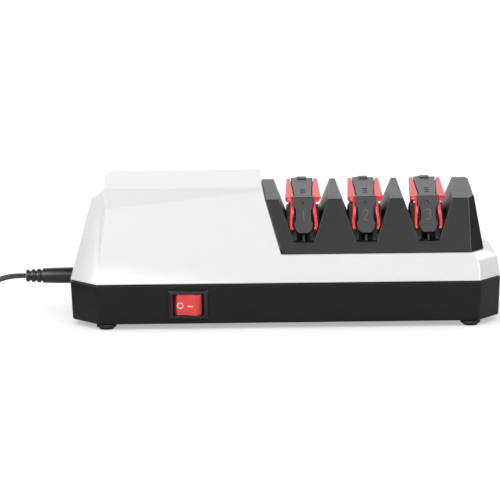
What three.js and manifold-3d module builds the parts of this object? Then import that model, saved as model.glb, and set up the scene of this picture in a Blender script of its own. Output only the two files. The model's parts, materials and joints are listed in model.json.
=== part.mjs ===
// Three-stage electric knife sharpener with its low-voltage lead and wall adapter.
// Millimetres, +Z up, front towards -Y. Origin: middle of the footprint, on the surface it stands on.

import * as THREE from 'three';
import { mergeVertices } from 'three/addons/utils/BufferGeometryUtils.js';
import Module from 'manifold-3d';

const wasm = await Module();
wasm.setup();

// Driving sizes of the housing
const housingLength = 230;
const housingDepth = 82;
const footHeight = 3;
const baseHeight = 21.5;
const wall = 2.5;
const fitGap = 0.3;
const overrun = 1;

// Corner flats of the eight-sided plan, measured at the parting line
const leftCornerLength = 14.5;
const leftCornerDepth = 17;
const rightCornerLength = 11.9;
const rightCornerDepth = 16;

// Slopes of the sides: sideways travel for each unit of height
const frontLeanShare = 0.53;
const leftFrontEdgeLeanShare = 0.138;
const leftSideLeanShare = 0.276;
const leftSideEdgeLeanShare = 0.367;
const rightFrontEdgeLeanShare = 0.05;
const rightSideLeanShare = 0.16;
const rightSideEdgeLeanShare = 0.382;
const baseDraftShare = 0.043;

// Rises of the cover's facets above the parting line
const topFrontRise = 46.2;
const topBackRise = 53.5;
const crownRise = 37.7;
const crownBackRise = 47.3;
const shoulderRise = 42;
const shoulderBackRise = 48.1;
const shelfRise = 9.9;
const seatRise = 14;
const headRoom = 60;

// Facets of the tall part of the cover
const crownRightX = -11;
const crownBackInset = 9;
const crownBackShift = 1.2;
const shoulderBackY = 8;

// The slanted wall between the tall part and the sharpening bay
const stepFootX = -2.2;
const stepLeanShare = 0.3;
const stepHeadRise = 47.6;

// Lip of the base inside the cover
const lipHeight = 2.4;
const lipThickness = 1.2;
const lipRoot = 2;

// The dark guide housing in the bay
const guideCreaseX = 98.9;
const guideSideWidth = 7.5;
const guideCornerDepth = 10.2;
const guideSideLeanShare = 0.174;
const guideSideEdgeLeanShare = 0.294;
const guideTopRise = 44.63;
const guideTopSlopeShare = 0.174;
const guideWall = 2.2;

// The three sharpening notches
const stageCount = 3;
const firstStageX = 10;
const stagePitch = 33.3;
const notchFloorRise = 20;
const notchFloorHalf = 5.35;
const notchLeanShare = 0.36;
const dividerHalf = 0.6;
const dividerRise = 35;

// Blade guide clips
const clipProud = 0.8;
const clipThickness = 2;
const clipInset = 1;
const strapFrontHalf = 4.2;
const strapBackHalf = 5.95;
const strapPadHalf = 2.5;
const strapPadLength = 3.5;
const strapPadInset = 0.6;
const strapPadHeight = 0.6;
const legHeadHalf = 5.5;
const legNeckHalf = 3.95;
const legBulgeHalf = 5.05;
const legToeHalf = 3.9;
const legFootHalf = 2.6;
const legFootRise = 24.3;
const legToeRise = 25.6;
const legBulgeRise = 28.7;
const legNeckLowRise = 30.9;
const legNeckHighRise = 36.2;
const legHeadRise = 38.2;

// Sprung blade pressers beside each clip
const pivotRise = 38;
const pinRadius = 1.2;
const pinSeat = 1;
const knuckleRadius = 2.3;
const knuckleStart = 3.2;
const rightKnuckleLength = 12.5;
const leftKnuckleLength = 9.8;
const railInnerHalf = 0.8;
const railFrontHalf = 10;
const railBackHalf = 8.9;
const railThickness = 2.4;
const webHalf = 5.4;
const railFootRise = 37.2;
const railProud = 0.6;
const strapSideGap = 0.6;
const armTopHalf = 6.4;
const armBulgeHalf = 7.75;
const armTipHalf = 7.1;
const armTipRise = 25.8;
const armThickness = 1.85;
const armDepth = 5;
const armInset = 1.2;

// Torsion springs on the pins
const springWireRadius = 0.35;
const springTurns = 3;
const springPitch = 1.25;
const springTangLength = 4.4;
const springTurnSteps = 8;
const springSides = 5;

// Spindle line
const shaftRise = 11.5;
const shaftRadius = 4;
const shaftEndProud = 1;
const wheelRadius = 24;
const wheelHubRadius = 8;
const wheelRimWidth = 5;
const wheelDishRadius = 12;
const wheelSlotGap = 2.2;
const wheelWeb = 2.8;
const chamberClearance = 1.5;
const chamberSideClearance = 0.9;
const bearingRadius = 8;
const bearingWidth = 5;
const bearingLip = 1.4;
const blockWidth = 7;
const blockHalfDepth = 15;
const blockFootHeight = 4;
const blockLand = 3.5;
const leftBearingX = -14;
const rightBearingX = 97;
const locatorHeight = 3;
const locatorWidth = 1.6;

// Motor
const motorRadius = 19;
const motorLength = 52;
const motorFaceX = -43;
const motorCanWall = 1.4;
const motorCapRim = 3;
const motorSpigotLength = 4;
const motorBossRadius = 7;
const motorBossLength = 3;
const motorShaftRadius = 2.5;
const armatureRadius = 15;
const armatureLength = 30;
const armatureSlots = 5;
const armatureSlotWidth = 3;
const armatureCoreRadius = 7;
const couplingRadius = 8;
const couplingLength = 20;

// Motor cradle, and the band over the motor
const cradleHalfDepth = 20;
const cradleThickness = 4;
const cradleInset = 9;
const bandThickness = 1.2;
const bandWidth = 10;
const bandEarLength = 9;
const bandEarDrop = 6;
const bandPostRadius = 3.4;

// Screws and posts
const postRadius = 5;
const postInsetX = 30;
const postInsetY = 11;
const counterboreDepth = 8;
const screwRadius = 1.6;
const screwHeadRadius = 3;
const screwHeadHeight = 1.8;
const coverScrewLength = 21;
const bandScrewLength = 9;

// Rubber feet
const footCollarRadius = 5.3;
const footPadRadius = 3.9;
const footPadHeight = 1.2;
const footStemRadius = 2.6;
const footStemLength = 1.6;
const footInsetY = 6.2;
const leftFootInsetX = 19.5;
const rightFootInsetX = 16.9;

// Rocker switch on the front of the base
const switchX = -51.7;
const switchDrop = 10.9;
const bezelLength = 21.3;
const bezelHeight = 15.6;
const bezelProud = 1.7;
const bezelChamfer = 1;
const switchBodyLength = 18.6;
const switchBodyHeight = 13.6;
const switchBodyDepth = 13;
const switchWell = 10;
const terminalLength = 5;
const terminalWidth = 4.8;
const terminalThickness = 0.8;
const terminalPitch = 7;
const terminalRoot = 1.5;
const rockerLength = 15;
const rockerHeight = 11.2;
const rockerCrestHalf = 5.2;
const rockerCrestRise = 2;
const rockerValleyRise = 1.1;
const rockerEndDepth = 1;
const rockerSkirtHalf = 5.5;
const rockerSkirtDepth = 6;
const rockerPivotDepth = 3.4;
const rockerEndGap = 0.65;
const rockerSideGap = 0.3;
const trunnionRadius = 1.1;
const trunnionLength = 0.8;
const rockerTilt = THREE.MathUtils.degToRad(11);

// Socket in the left end of the base, and the plug in it
const socketY = 19;
const socketDrop = 5.3;
const socketNoseRadius = 4;
const socketBodyHalf = 4.5;
const socketBodyLength = 11;
const socketBoreRadius = 3.1;
const socketBoreDepth = 10.5;
const socketPinRadius = 1.05;
const socketPinInset = 2;
const socketShelfLength = 6;
const plugRadius = 4.4;
const plugRearRadius = 4.05;
const plugBodyLength = 17.3;
const plugEdge = 0.4;
const reliefRibs = 3;
const reliefRibPitch = 3.05;
const reliefSlot = 1;
const reliefEndRadius = 3.3;
const reliefNeckRadius = 2.3;
const barrelRadius = 2.75;
const barrelBoreRadius = 1.35;
const barrelLength = 9;
const barrelRoot = 2;

// The lead: a free stretch, a stored coil and a short tail to the adapter
const leadDiameter = 3;
const leadSides = 8;
const coilX = -186;
const coilLayers = 4;
const layerTurns = 2.5625;
const turnPitch = 3.6;
const layerPitch = 3.5;
const coilInnerRadius = 12.4;
const climbTurns = 0.5;
const loopSteps = 24;
const gapSteps = 96;
const coilSides = 6;
const tieAngle = THREE.MathUtils.degToRad(-60);
const tieWidth = 5;
const tieThickness = 1;
const tieGap = 0.45;

// Wall adapter that lies beside the coil
const adapterLength = 56;
const adapterWidth = 36;
const adapterHeight = 27;
const adapterEdge = 3.5;
const adapterNoseLength = 8;
const adapterNoseRadius = 3.6;
const adapterEntryY = -22;
const prongLength = 17;
const prongWidth = 6.3;
const prongThickness = 1.6;
const prongPitch = 12.7;
const prongRoot = 2;

// Counts of facets round a circle
const roundSides = 24;
const wheelSides = 28;
const chamberSides = 48;
const smallSides = 12;

// Places worked out from the sizes above
const halfLength = housingLength / 2;
const halfDepth = housingDepth / 2;
const partingZ = footHeight + baseHeight;
const floorZ = footHeight + wall;
const shaftZ = partingZ + shaftRise;
const stageXs = Array.from({ length: stageCount }, (_, i) => firstStageX + i * stagePitch);
const lastStageX = stageXs[stageCount - 1];
const notchHalfAt = (rise) => notchFloorHalf + notchLeanShare * (rise - notchFloorRise);
const frontAt = (rise) => -halfDepth + frontLeanShare * rise;
const wheelHalf = notchHalfAt(shaftRise + wheelRadius) - wheelSlotGap;
const chamberRadius = wheelRadius + chamberClearance;
const chamberHalf = wheelHalf + chamberSideClearance;
const leadRadius = leadDiameter / 2;

// Solid helpers
const point = (x, y, z) => new THREE.Vector3(x, y, z);

function signedVolume(positions, index) {
  const corner = (i) => new THREE.Vector3().fromArray(positions, 3 * i);
  let sum = 0;
  for (let i = 0; i < index.length; i += 3) {
    sum += corner(index[i]).dot(corner(index[i + 1]).cross(corner(index[i + 2])));
  }
  return sum;
}

// A closed solid from a three.js geometry, with its faces turned outwards
function solid(geometry) {
  geometry.deleteAttribute('normal');
  geometry.deleteAttribute('uv');
  const merged = mergeVertices(geometry);
  const positions = merged.getAttribute('position').array;
  const index = [];
  for (let i = 0; i < merged.index.count; i += 3) {
    const [a, b, c] = [0, 1, 2].map((k) => merged.index.getX(i + k));
    if (a !== b && b !== c && c !== a) index.push(a, b, c);
  }
  if (signedVolume(positions, index) < 0) {
    for (let i = 0; i < index.length; i += 3) [index[i], index[i + 1]] = [index[i + 1], index[i]];
  }
  const triVerts = new Uint32Array(index);
  return new wasm.Manifold(new wasm.Mesh({ numProp: 3, vertProperties: positions, triVerts }));
}

function geometryOf(body) {
  const mesh = body.getMesh();
  const geometry = new THREE.BufferGeometry();
  geometry.setAttribute('position', new THREE.BufferAttribute(mesh.vertProperties, mesh.numProp));
  geometry.setIndex(new THREE.BufferAttribute(mesh.triVerts, 1));
  return geometry;
}

const join = (...solids) => solids.reduce((a, b) => a.add(b));
const cut = (body, ...tools) => tools.reduce((a, b) => a.subtract(b), body);

// Extrusion along one axis; the outline's two numbers are the other two axes, in their order
function extrusion(outline, axis, from, to) {
  const isShape = outline instanceof THREE.Shape;
  const shape = isShape ? outline : new THREE.Shape(outline.map((p) => new THREE.Vector2(...p)));
  const settings = { depth: to - from, bevelEnabled: false, curveSegments: roundSides / 2 };
  const geometry = new THREE.ExtrudeGeometry(shape, settings);
  const turn = new THREE.Matrix4();
  if (axis === 'x') turn.makeBasis(point(0, 1, 0), point(0, 0, 1), point(1, 0, 0)).setPosition(from, 0, 0);
  if (axis === 'y') turn.makeBasis(point(1, 0, 0), point(0, 0, 1), point(0, -1, 0)).setPosition(0, to, 0);
  if (axis === 'z') turn.setPosition(0, 0, from);
  return geometry.applyMatrix4(turn);
}

const prism = (outline, axis, from, to) => solid(extrusion(outline, axis, from, to));

function block(x0, x1, y0, y1, z0, z1) {
  const geometry = new THREE.BoxGeometry(x1 - x0, y1 - y0, z1 - z0);
  return solid(geometry.translate((x0 + x1) / 2, (y0 + y1) / 2, (z0 + z1) / 2));
}

function rod(radius, from, to, sides = roundSides) {
  const span = to.clone().sub(from);
  const middle = from.clone().add(to).divideScalar(2);
  const geometry = new THREE.CylinderGeometry(radius, radius, span.length(), sides);
  geometry.applyQuaternion(new THREE.Quaternion().setFromUnitVectors(point(0, 1, 0), span.normalize()));
  return solid(geometry.translate(middle.x, middle.y, middle.z));
}

const rodX = (radius, x0, x1, y, z, sides) => rod(radius, point(x0, y, z), point(x1, y, z), sides);
const rodY = (radius, y0, y1, x, z, sides) => rod(radius, point(x, y0, z), point(x, y1, z), sides);
const rodZ = (radius, z0, z1, x, y, sides) => rod(radius, point(x, y, z0), point(x, y, z1), sides);

// Revolved profile of [radius, place along the axis], closed on itself, about X or Z
function revolve(profile, axis, sides = roundSides) {
  const loop = [...profile, profile[0]].map(([radius, along]) => new THREE.Vector2(radius, along));
  const geometry = new THREE.LatheGeometry(loop, sides);
  if (axis === 'x') geometry.rotateZ(-Math.PI / 2);
  if (axis === 'z') geometry.rotateX(Math.PI / 2);
  return solid(geometry);
}

// Closed skin through rings with the same count of points
function loft(rings) {
  const count = rings[0].length;
  const index = [];
  for (let r = 0; r + 1 < rings.length; r++) {
    for (let i = 0; i < count; i++) {
      const a = r * count + i;
      const b = r * count + ((i + 1) % count);
      index.push(a, b, a + count, b, b + count, a + count);
    }
  }
  const last = (rings.length - 1) * count;
  for (let i = 1; i + 1 < count; i++) {
    index.push(0, i + 1, i);
    index.push(last, last + i, last + i + 1);
  }
  const geometry = new THREE.BufferGeometry();
  geometry.setAttribute('position', new THREE.Float32BufferAttribute(rings.flat(2), 3));
  geometry.setIndex(index);
  return solid(geometry);
}

// A large block above the plane through three points, sunk square to the plane by an amount
function above(a, b, c, sunk = 0) {
  const normal = b.clone().sub(a).cross(c.clone().sub(a)).normalize();
  if (normal.z < 0) normal.negate();
  const reach = 2 * housingLength;
  const geometry = new THREE.BoxGeometry(reach, reach, reach).translate(0, 0, reach / 2 - sunk);
  geometry.applyQuaternion(new THREE.Quaternion().setFromUnitVectors(point(0, 0, 1), normal));
  return solid(geometry.translate(a.x, a.y, a.z));
}

// Tube with flat ends through points, its section carried along without twist
function wireThrough(points, radius, sides) {
  const along = points.map((p, i) => {
    const before = points[Math.max(i - 1, 0)];
    const after = points[Math.min(i + 1, points.length - 1)];
    return after.clone().sub(before).normalize();
  });
  const side = point(0, 0, 1).cross(along[0]).normalize();
  const rings = points.map((p, i) => {
    side.addScaledVector(along[i], -side.dot(along[i])).normalize();
    const up = along[i].clone().cross(side);
    return Array.from({ length: sides }, (_, k) => {
      const angle = (2 * Math.PI * k) / sides;
      const spoke = side.clone().multiplyScalar(radius * Math.cos(angle));
      return p.clone().add(spoke).addScaledVector(up, radius * Math.sin(angle)).toArray();
    });
  });
  return loft(rings);
}

// Least gap between stretches of one wire that lie at least a given count of points apart
function leastGap(points, apart, radius) {
  let least = Infinity;
  for (let i = 0; i < points.length; i++) {
    for (let j = i + apart; j < points.length; j++) {
      least = Math.min(least, points[i].distanceTo(points[j]));
    }
  }
  return least - 2 * radius;
}

// Assembly helpers
const finish = (color, roughness, metalness) => () =>
  new THREE.MeshStandardMaterial({ color, roughness, metalness });

const finishes = {
  whitePlastic: finish(0xf2f2f1, 0.35, 0),
  blackPlastic: finish(0x2e2e2f, 0.45, 0),
  greyPlastic: finish(0x454547, 0.5, 0),
  redPlastic: finish(0xd5252b, 0.35, 0),
  rubber: finish(0x1b1b1b, 0.85, 0),
  steel: finish(0xb9bcc0, 0.3, 1),
  zinc: finish(0x9a9c9e, 0.45, 1),
  copper: finish(0xb06a3a, 0.45, 1),
  grit: finish(0x55575a, 0.9, 0),
};

function place(parent, name, look, body) {
  const mesh = new THREE.Mesh(geometryOf(body), finishes[look]());
  mesh.name = name;
  parent.add(mesh);
  return mesh;
}

function groupAt(parent, x, y, z) {
  const group = new THREE.Group();
  group.position.set(x, y, z);
  parent.add(group);
  return group;
}

// Plans of the housing: the cover's by its rise above the parting line, the base's by its drop below
function coverPlan(rise, inset) {
  const x = halfLength - inset;
  const y = halfDepth - inset;
  const front = -y + frontLeanShare * rise;
  const near = [
    [-x + leftCornerLength + leftFrontEdgeLeanShare * rise, front],
    [x - rightCornerLength - rightFrontEdgeLeanShare * rise, front],
    [x - rightSideLeanShare * rise, -y + rightCornerDepth + rightSideEdgeLeanShare * rise],
  ];
  const left = [-x + leftSideLeanShare * rise, -y + leftCornerDepth + leftSideEdgeLeanShare * rise];
  const far = near.slice().reverse().map(([a, b]) => [a, -b]);
  return [...near, ...far, [left[0], -left[1]], left];
}

function basePlan(drop, inset) {
  const x = halfLength - inset - baseDraftShare * drop;
  const y = halfDepth - inset - baseDraftShare * drop;
  const near = [
    [-x + leftCornerLength, -y],
    [x - rightCornerLength, -y],
    [x, -y + rightCornerDepth],
  ];
  const far = near.slice().reverse().map(([a, b]) => [a, -b]);
  return [...near, ...far, [-x, y - leftCornerDepth], [-x, -y + leftCornerDepth]];
}

const ring = (plan, z) => plan.map(([x, y]) => [x, y, z]);
const coverRing = (rise, inset) => ring(coverPlan(rise, inset), rise);
const baseRing = (drop, inset) => ring(basePlan(drop, inset), partingZ - drop);

// Cover, modelled above the parting line: the tall facetted part
function tallPart(inset) {
  const body = loft([coverRing(inset > 0 ? -overrun : 0, inset), coverRing(headRoom, inset)]);
  const crownX = -halfLength + leftCornerLength + leftFrontEdgeLeanShare * crownRise;
  const crownBackY = frontAt(crownRise) + crownBackInset;
  const sideX = (rise) => -halfLength + leftSideLeanShare * rise;
  const sideY = -halfDepth + leftCornerDepth + leftSideEdgeLeanShare * shoulderRise;
  const top = above(
    point(crownX, -frontAt(topBackRise), topBackRise),
    point(crownRightX, -frontAt(topBackRise), topBackRise),
    point(crownRightX, frontAt(topFrontRise), topFrontRise),
    inset,
  );
  const crown = above(
    point(crownX, frontAt(crownRise), crownRise),
    point(crownRightX, frontAt(topFrontRise), topFrontRise),
    point(crownX - crownBackShift, crownBackY, crownBackRise),
    inset,
  );
  const shoulder = above(
    point(sideX(shoulderRise), sideY, shoulderRise),
    point(crownX - crownBackShift, crownBackY, crownBackRise),
    point(sideX(shoulderBackRise), shoulderBackY, shoulderBackRise),
    inset,
  );
  return cut(body, top, crown, shoulder, stepCutter(inset));
}

// Everything to the right of the slanted wall of the bay
function stepCutter(inset) {
  const stepX = (rise) => stepFootX - stepLeanShare * (rise - seatRise) - inset;
  const outline = [
    [stepX(-headRoom), -headRoom],
    [housingLength, -headRoom],
    [housingLength, 2 * headRoom],
    [stepX(stepHeadRise), 2 * headRoom],
    [stepX(stepHeadRise), stepHeadRise],
  ];
  return prism(outline, 'y', -housingDepth, housingDepth);
}

// The low part that carries the guide housing, with its chamfered shelf round the right end
function lowPart(inset) {
  const rise = seatRise - inset;
  const seat = coverRing(rise, inset);
  const guide = guidePlan(rise, inset);
  for (const corner of [1, 2, 3, 4]) seat[corner] = [...guide[corner], rise];
  return loft([coverRing(inset > 0 ? -overrun : 0, inset), coverRing(shelfRise - inset, inset), seat]);
}

const postPlaces = [-1, 1].flatMap((sideX) =>
  [-1, 1].map((sideY) => [sideX * (halfLength - postInsetX), sideY * (halfDepth - postInsetY)]),
);
const screwSeatZ = footHeight + counterboreDepth;
const screwTipRise = screwSeatZ + coverScrewLength - partingZ;

function makeCover() {
  const outside = join(tallPart(0), lowPart(0));
  const shell = cut(outside, join(tallPart(wall), lowPart(wall)));
  const posts = postPlaces.map(([x, y]) =>
    rodZ(postRadius, 0, screwTipRise + wall, x, y, smallSides).intersect(outside),
  );
  const bores = postPlaces.map(([x, y]) =>
    rodZ(screwRadius + fitGap, -overrun, screwTipRise + fitGap, x, y, smallSides),
  );
  const underside = seatRise - wall - overrun;
  const bayX0 = stageXs[0] - chamberHalf;
  const bayX1 = lastStageX + chamberHalf;
  const bay = block(bayX0, bayX1, -chamberRadius, chamberRadius, underside, seatRise + overrun);
  const blockHalf = bearingRadius + blockLand + overrun;
  const blockX1 = rightBearingX + blockWidth / 2 + overrun;
  const roof = seatRise + overrun;
  const blockSpace = block(bayX1 - overrun, blockX1, -blockHalf, blockHalf, underside, roof);
  const slotX0 = leftBearingX + blockWidth / 2;
  const shaftSlot = rodX(shaftRadius + chamberSideClearance, slotX0, bayX1, 0, shaftRise);
  return cut(join(shell, ...posts), ...bores, bay, blockSpace, shaftSlot);
}

// Plan of the guide housing: square at the slanted wall, with corner flats at the right end
function guidePlan(rise, inset) {
  const fromSeat = rise - seatRise;
  const front = frontAt(rise) + inset;
  const side = guideCreaseX + guideSideWidth - guideSideLeanShare * fromSeat - inset;
  const edge = frontAt(seatRise) + guideCornerDepth + guideSideEdgeLeanShare * fromSeat + inset / 2;
  const step = stepFootX - stepLeanShare * fromSeat + inset;
  return [
    [step, front],
    [guideCreaseX - inset / 2, front],
    [side, edge],
    [side, -edge],
    [guideCreaseX - inset / 2, -front],
    [step, -front],
  ];
}

const guideRing = (rise, inset) => ring(guidePlan(rise, inset), rise);

// The space above the sloping top of the guide housing, or above a plane parallel to it
function aboveGuideTop(offset) {
  const at = (x, y) => point(x, y, guideTopRise + guideTopSlopeShare * y + offset);
  return above(at(0, -halfDepth), at(halfLength, -halfDepth), at(0, halfDepth));
}

// Guide housing: a hollow moulding with three notches, each floor open to its pair of wheels
function makeGuideHousing() {
  const outside = loft([guideRing(seatRise + fitGap, fitGap), guideRing(headRoom, fitGap)]);
  const inside = loft([guideRing(seatRise - overrun, guideWall), guideRing(headRoom, guideWall)]);
  const hollow = cut(inside, aboveGuideTop(-guideWall));
  const notches = stageXs.map((x) => prism(notchOutline(x), 'y', -halfDepth, halfDepth));
  const chambers = stageXs.map(wheelChamber);
  const pockets = stageXs.map((x, i) => prism(toothHollow(i), 'y', -halfDepth, halfDepth).intersect(hollow));
  const groove = rodX(shaftRadius + chamberSideClearance, stepFootX - wall, guideCreaseX, 0, shaftRise);
  const housing = cut(outside, aboveGuideTop(0), ...notches, ...chambers, ...pockets, groove);
  return join(housing, ...stageXs.flatMap((x) => [-1, 1].map((side) => makeDivider(x, side))));
}

function notchOutline(x) {
  return [
    [x - notchFloorHalf, notchFloorRise],
    [x + notchFloorHalf, notchFloorRise],
    [x + notchHalfAt(headRoom), headRoom],
    [x - notchHalfAt(headRoom), headRoom],
  ];
}

function wheelChamber(x) {
  return rodX(chamberRadius, x - chamberHalf, x + chamberHalf, 0, shaftRise, chamberSides);
}

// Hollow of the tooth to the right of a stage, a wall away from the notches and the wheel chambers
function toothHollow(stage) {
  const isLast = stage === stageCount - 1;
  const kneeRise = notchFloorRise + (chamberHalf - notchFloorHalf) / notchLeanShare;
  const headRise = isLast ? headRoom : guideTopRise - 2 * guideWall;
  const footRise = seatRise - overrun;
  const left = (rise) => stageXs[stage] + notchHalfAt(rise) + guideWall;
  const mirrored = (rise) => stageXs[stage] + stagePitch - notchHalfAt(rise) - guideWall;
  const right = (rise) => (isLast ? guideCreaseX + guideSideWidth : mirrored(rise));
  return [
    [left(kneeRise), footRise],
    [right(kneeRise), footRise],
    [right(kneeRise), kneeRise],
    [right(headRise), headRise],
    [left(headRise), headRise],
    [left(kneeRise), kneeRise],
  ];
}

// Thin divider that stands on the notch floor behind a leg of the clip
function makeDivider(x, side) {
  const rooted = notchFloorRise - guideWall / 2;
  const set = clipInset + clipThickness + fitGap;
  const outline = [
    [side * -(frontAt(rooted) + set), rooted],
    [side * -(frontAt(dividerRise) + set), dividerRise],
    [0, dividerRise],
    [0, rooted],
  ];
  return cut(prism(outline, 'x', x - dividerHalf, x + dividerHalf), wheelChamber(x));
}

// Plate that stands in the sloping front or back, set in by an amount; stage frame
function slopedPlate(outline, inset, thickness, side) {
  const geometry = extrusion(outline, 'y', inset - halfDepth, inset + thickness - halfDepth);
  geometry.applyMatrix4(new THREE.Matrix4().makeShear(0, 0, 0, 0, 0, frontLeanShare));
  if (side > 0) geometry.scale(1, -1, 1);
  return solid(geometry);
}

// Waisted outline of a clip's leg
function legOutline(grow) {
  const half = [
    [legFootHalf + grow, legFootRise - grow],
    [legToeHalf + grow, legToeRise - grow],
    [legBulgeHalf + grow, legBulgeRise],
    [legNeckHalf + grow, legNeckLowRise + grow],
    [legNeckHalf + grow, legNeckHighRise - grow],
    [legHeadHalf + grow, legHeadRise - grow],
    [legHeadHalf + grow, headRoom],
  ];
  return [...half, ...half.slice().reverse().map(([x, rise]) => [-x, rise])];
}

// Upright body over a stage between the sloping front and back, between two half widths to each side
function overStage(frontXs, backXs, inset, footRise) {
  const rings = [footRise, headRoom].map((rise) => {
    const y = frontAt(rise) + inset;
    return [
      [frontXs[0], y, rise],
      [frontXs[1], y, rise],
      [backXs[1], -y, rise],
      [backXs[0], -y, rise],
    ];
  });
  return loft(rings);
}

function strapBody(grow, sunk) {
  const front = strapFrontHalf + grow;
  const back = strapBackHalf + grow;
  const body = overStage([-front, front], [-back, back], clipInset - grow, pivotRise);
  return body.intersect(aboveGuideTop(clipProud - clipThickness - sunk));
}

const pinEndY = -(frontAt(pivotRise) + clipInset + clipThickness) + pinSeat;
const guideRiseShare = 1 + guideTopSlopeShare * frontLeanShare;
const guideBackRise = (guideTopRise + guideTopSlopeShare * halfDepth) / guideRiseShare;

// Clip: a strap along the top with a waisted leg at the front and at the back
function makeClip() {
  const legs = [-1, 1].map((side) => slopedPlate(legOutline(0), clipInset, clipThickness, side));
  const frame = cut(join(strapBody(0, 0), ...legs), aboveGuideTop(clipProud));
  const padY1 = -frontAt(guideBackRise) - strapPadInset;
  const pad = block(-strapPadHalf, strapPadHalf, padY1 - strapPadLength, padY1, pivotRise, headRoom)
    .intersect(aboveGuideTop(clipProud - clipThickness / 2))
    .subtract(aboveGuideTop(clipProud + strapPadHeight));
  const seatY = pinEndY + fitGap;
  return cut(join(frame, pad), rodY(pinRadius + fitGap, -seatY, seatY, 0, pivotRise, smallSides));
}

// Presser: a rail on a web beside the strap, an arm down each end, a knuckle on the pin; side is -1 or 1
function makePresser(side) {
  const frontXs = [side * railInnerHalf, side * railFrontHalf];
  const backXs = [side * railInnerHalf, side * railBackHalf];
  const railDepth = aboveGuideTop(railProud - railThickness);
  const rail = overStage(frontXs, backXs, armInset, railFootRise).intersect(railDepth);
  const webXs = [side * railInnerHalf, side * webHalf];
  const web = overStage(webXs, webXs, armInset, railFootRise);
  const arms = [-1, 1].map((end) => slopedPlate(armOutline(side), armInset, armDepth, end));
  const legDepth = clipInset + clipThickness + fitGap;
  const legs = [-1, 1].map((end) => slopedPlate(legOutline(fitGap), 0, legDepth, end));
  const knuckle = knuckleRod(side, knuckleRadius, knuckleStart, 0);
  const otherKnuckle = knuckleRod(-side, knuckleRadius + fitGap, -knuckleStart, fitGap);
  const strap = strapBody(strapSideGap, fitGap);
  const body = cut(join(rail, web, ...arms), strap, aboveGuideTop(railProud), otherKnuckle, ...legs);
  return cut(join(body, knuckle), rodY(pinRadius + fitGap, -halfDepth, halfDepth, 0, pivotRise, smallSides));
}

// Rod along the pin from a start to past the end of one side's knuckle
function knuckleRod(side, radius, start, past) {
  const length = side > 0 ? rightKnuckleLength : leftKnuckleLength;
  const end = knuckleStart + length + past;
  return rodY(radius, side * (start + past), side * end, 0, pivotRise, smallSides);
}

function armOutline(side) {
  const topRise = railFootRise + armDepth;
  const outline = [
    [armTopHalf, topRise],
    [armBulgeHalf, legBulgeRise],
    [armTipHalf, armTipRise],
    [armTipHalf - armThickness, armTipRise],
    [armBulgeHalf - armThickness, legBulgeRise],
    [armTopHalf - armThickness, topRise],
  ];
  return outline.map(([x, rise]) => [side * x, rise]);
}

// Torsion spring round the pin, both tangs out from below the coil
function springPoints(steps) {
  const radius = pinRadius + fitGap + springWireRadius;
  const half = (springTurns * springPitch) / 2;
  const points = [point(-springTangLength, -half, -radius)];
  for (let i = 0; i <= springTurns * steps; i++) {
    const turn = i / steps;
    const angle = 2 * Math.PI * turn - Math.PI / 2;
    points.push(point(radius * Math.cos(angle), turn * springPitch - half, radius * Math.sin(angle)));
  }
  points.push(point(springTangLength, half, -radius));
  return points;
}

// Dished abrasive wheel, its outer face parallel to the wall of the notch
function makeWheel() {
  const dish = wheelHalf - notchLeanShare * (wheelRadius - wheelDishRadius);
  const bore = shaftRadius + fitGap;
  const hubStart = fitGap / 2;
  const profile = [
    [bore, hubStart],
    [wheelHubRadius, hubStart],
    [wheelHubRadius, dish - wheelWeb],
    [wheelDishRadius, dish - wheelWeb],
    [wheelRadius, wheelHalf - wheelRimWidth],
    [wheelRadius, wheelHalf],
    [wheelDishRadius, dish],
    [wheelHubRadius, dish],
    [wheelHubRadius, wheelHalf],
    [bore, wheelHalf],
  ];
  return revolve(profile, 'x', wheelSides);
}

// Places along the spindle
const motorBackX = motorFaceX - motorLength;
const motorMiddleX = motorFaceX - motorLength / 2;
const couplingX0 = motorFaceX + motorBossLength + overrun;
const couplingX1 = couplingX0 + couplingLength;
const couplingMiddleX = (couplingX0 + couplingX1) / 2;
const shaftEndX = rightBearingX + blockWidth / 2 + shaftEndProud;
const bearingSeatX = blockWidth / 2 - bearingWidth - fitGap;

function makeShaft() {
  return rodX(shaftRadius, couplingMiddleX + fitGap, shaftEndX, 0, 0);
}

function makeCoupling() {
  const profile = [
    [motorShaftRadius + fitGap, couplingX0],
    [couplingRadius, couplingX0],
    [couplingRadius, couplingX1],
    [shaftRadius + fitGap, couplingX1],
    [shaftRadius + fitGap, couplingMiddleX],
    [motorShaftRadius + fitGap, couplingMiddleX],
  ];
  return revolve(profile, 'x');
}

function makeRotor() {
  const tailX = motorBackX - motorBossLength - shaftEndProud;
  const shaft = rodX(motorShaftRadius, tailX, couplingMiddleX - fitGap, 0, 0, smallSides);
  const halfArmature = armatureLength / 2;
  const core = rodX(armatureRadius, motorMiddleX - halfArmature, motorMiddleX + halfArmature, 0, 0);
  const depth = armatureRadius - armatureCoreRadius + overrun;
  const slots = Array.from({ length: armatureSlots }, (_, i) => {
    const geometry = new THREE.BoxGeometry(armatureLength + overrun, armatureSlotWidth, depth);
    geometry.translate(motorMiddleX, 0, armatureCoreRadius + depth / 2);
    return solid(geometry.rotateX((2 * Math.PI * i) / armatureSlots));
  });
  return join(cut(core, ...slots), shaft);
}

function makeMotorCan() {
  const inside = motorRadius - motorCanWall;
  const hole = motorShaftRadius + fitGap;
  const rim = motorBackX + motorCapRim + fitGap;
  const profile = [
    [hole, motorFaceX + motorBossLength],
    [motorBossRadius, motorFaceX + motorBossLength],
    [motorBossRadius, motorFaceX],
    [motorRadius, motorFaceX],
    [motorRadius, rim],
    [inside, rim],
    [inside, motorFaceX - motorCanWall],
    [hole, motorFaceX - motorCanWall],
  ];
  return revolve(profile, 'x');
}

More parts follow.
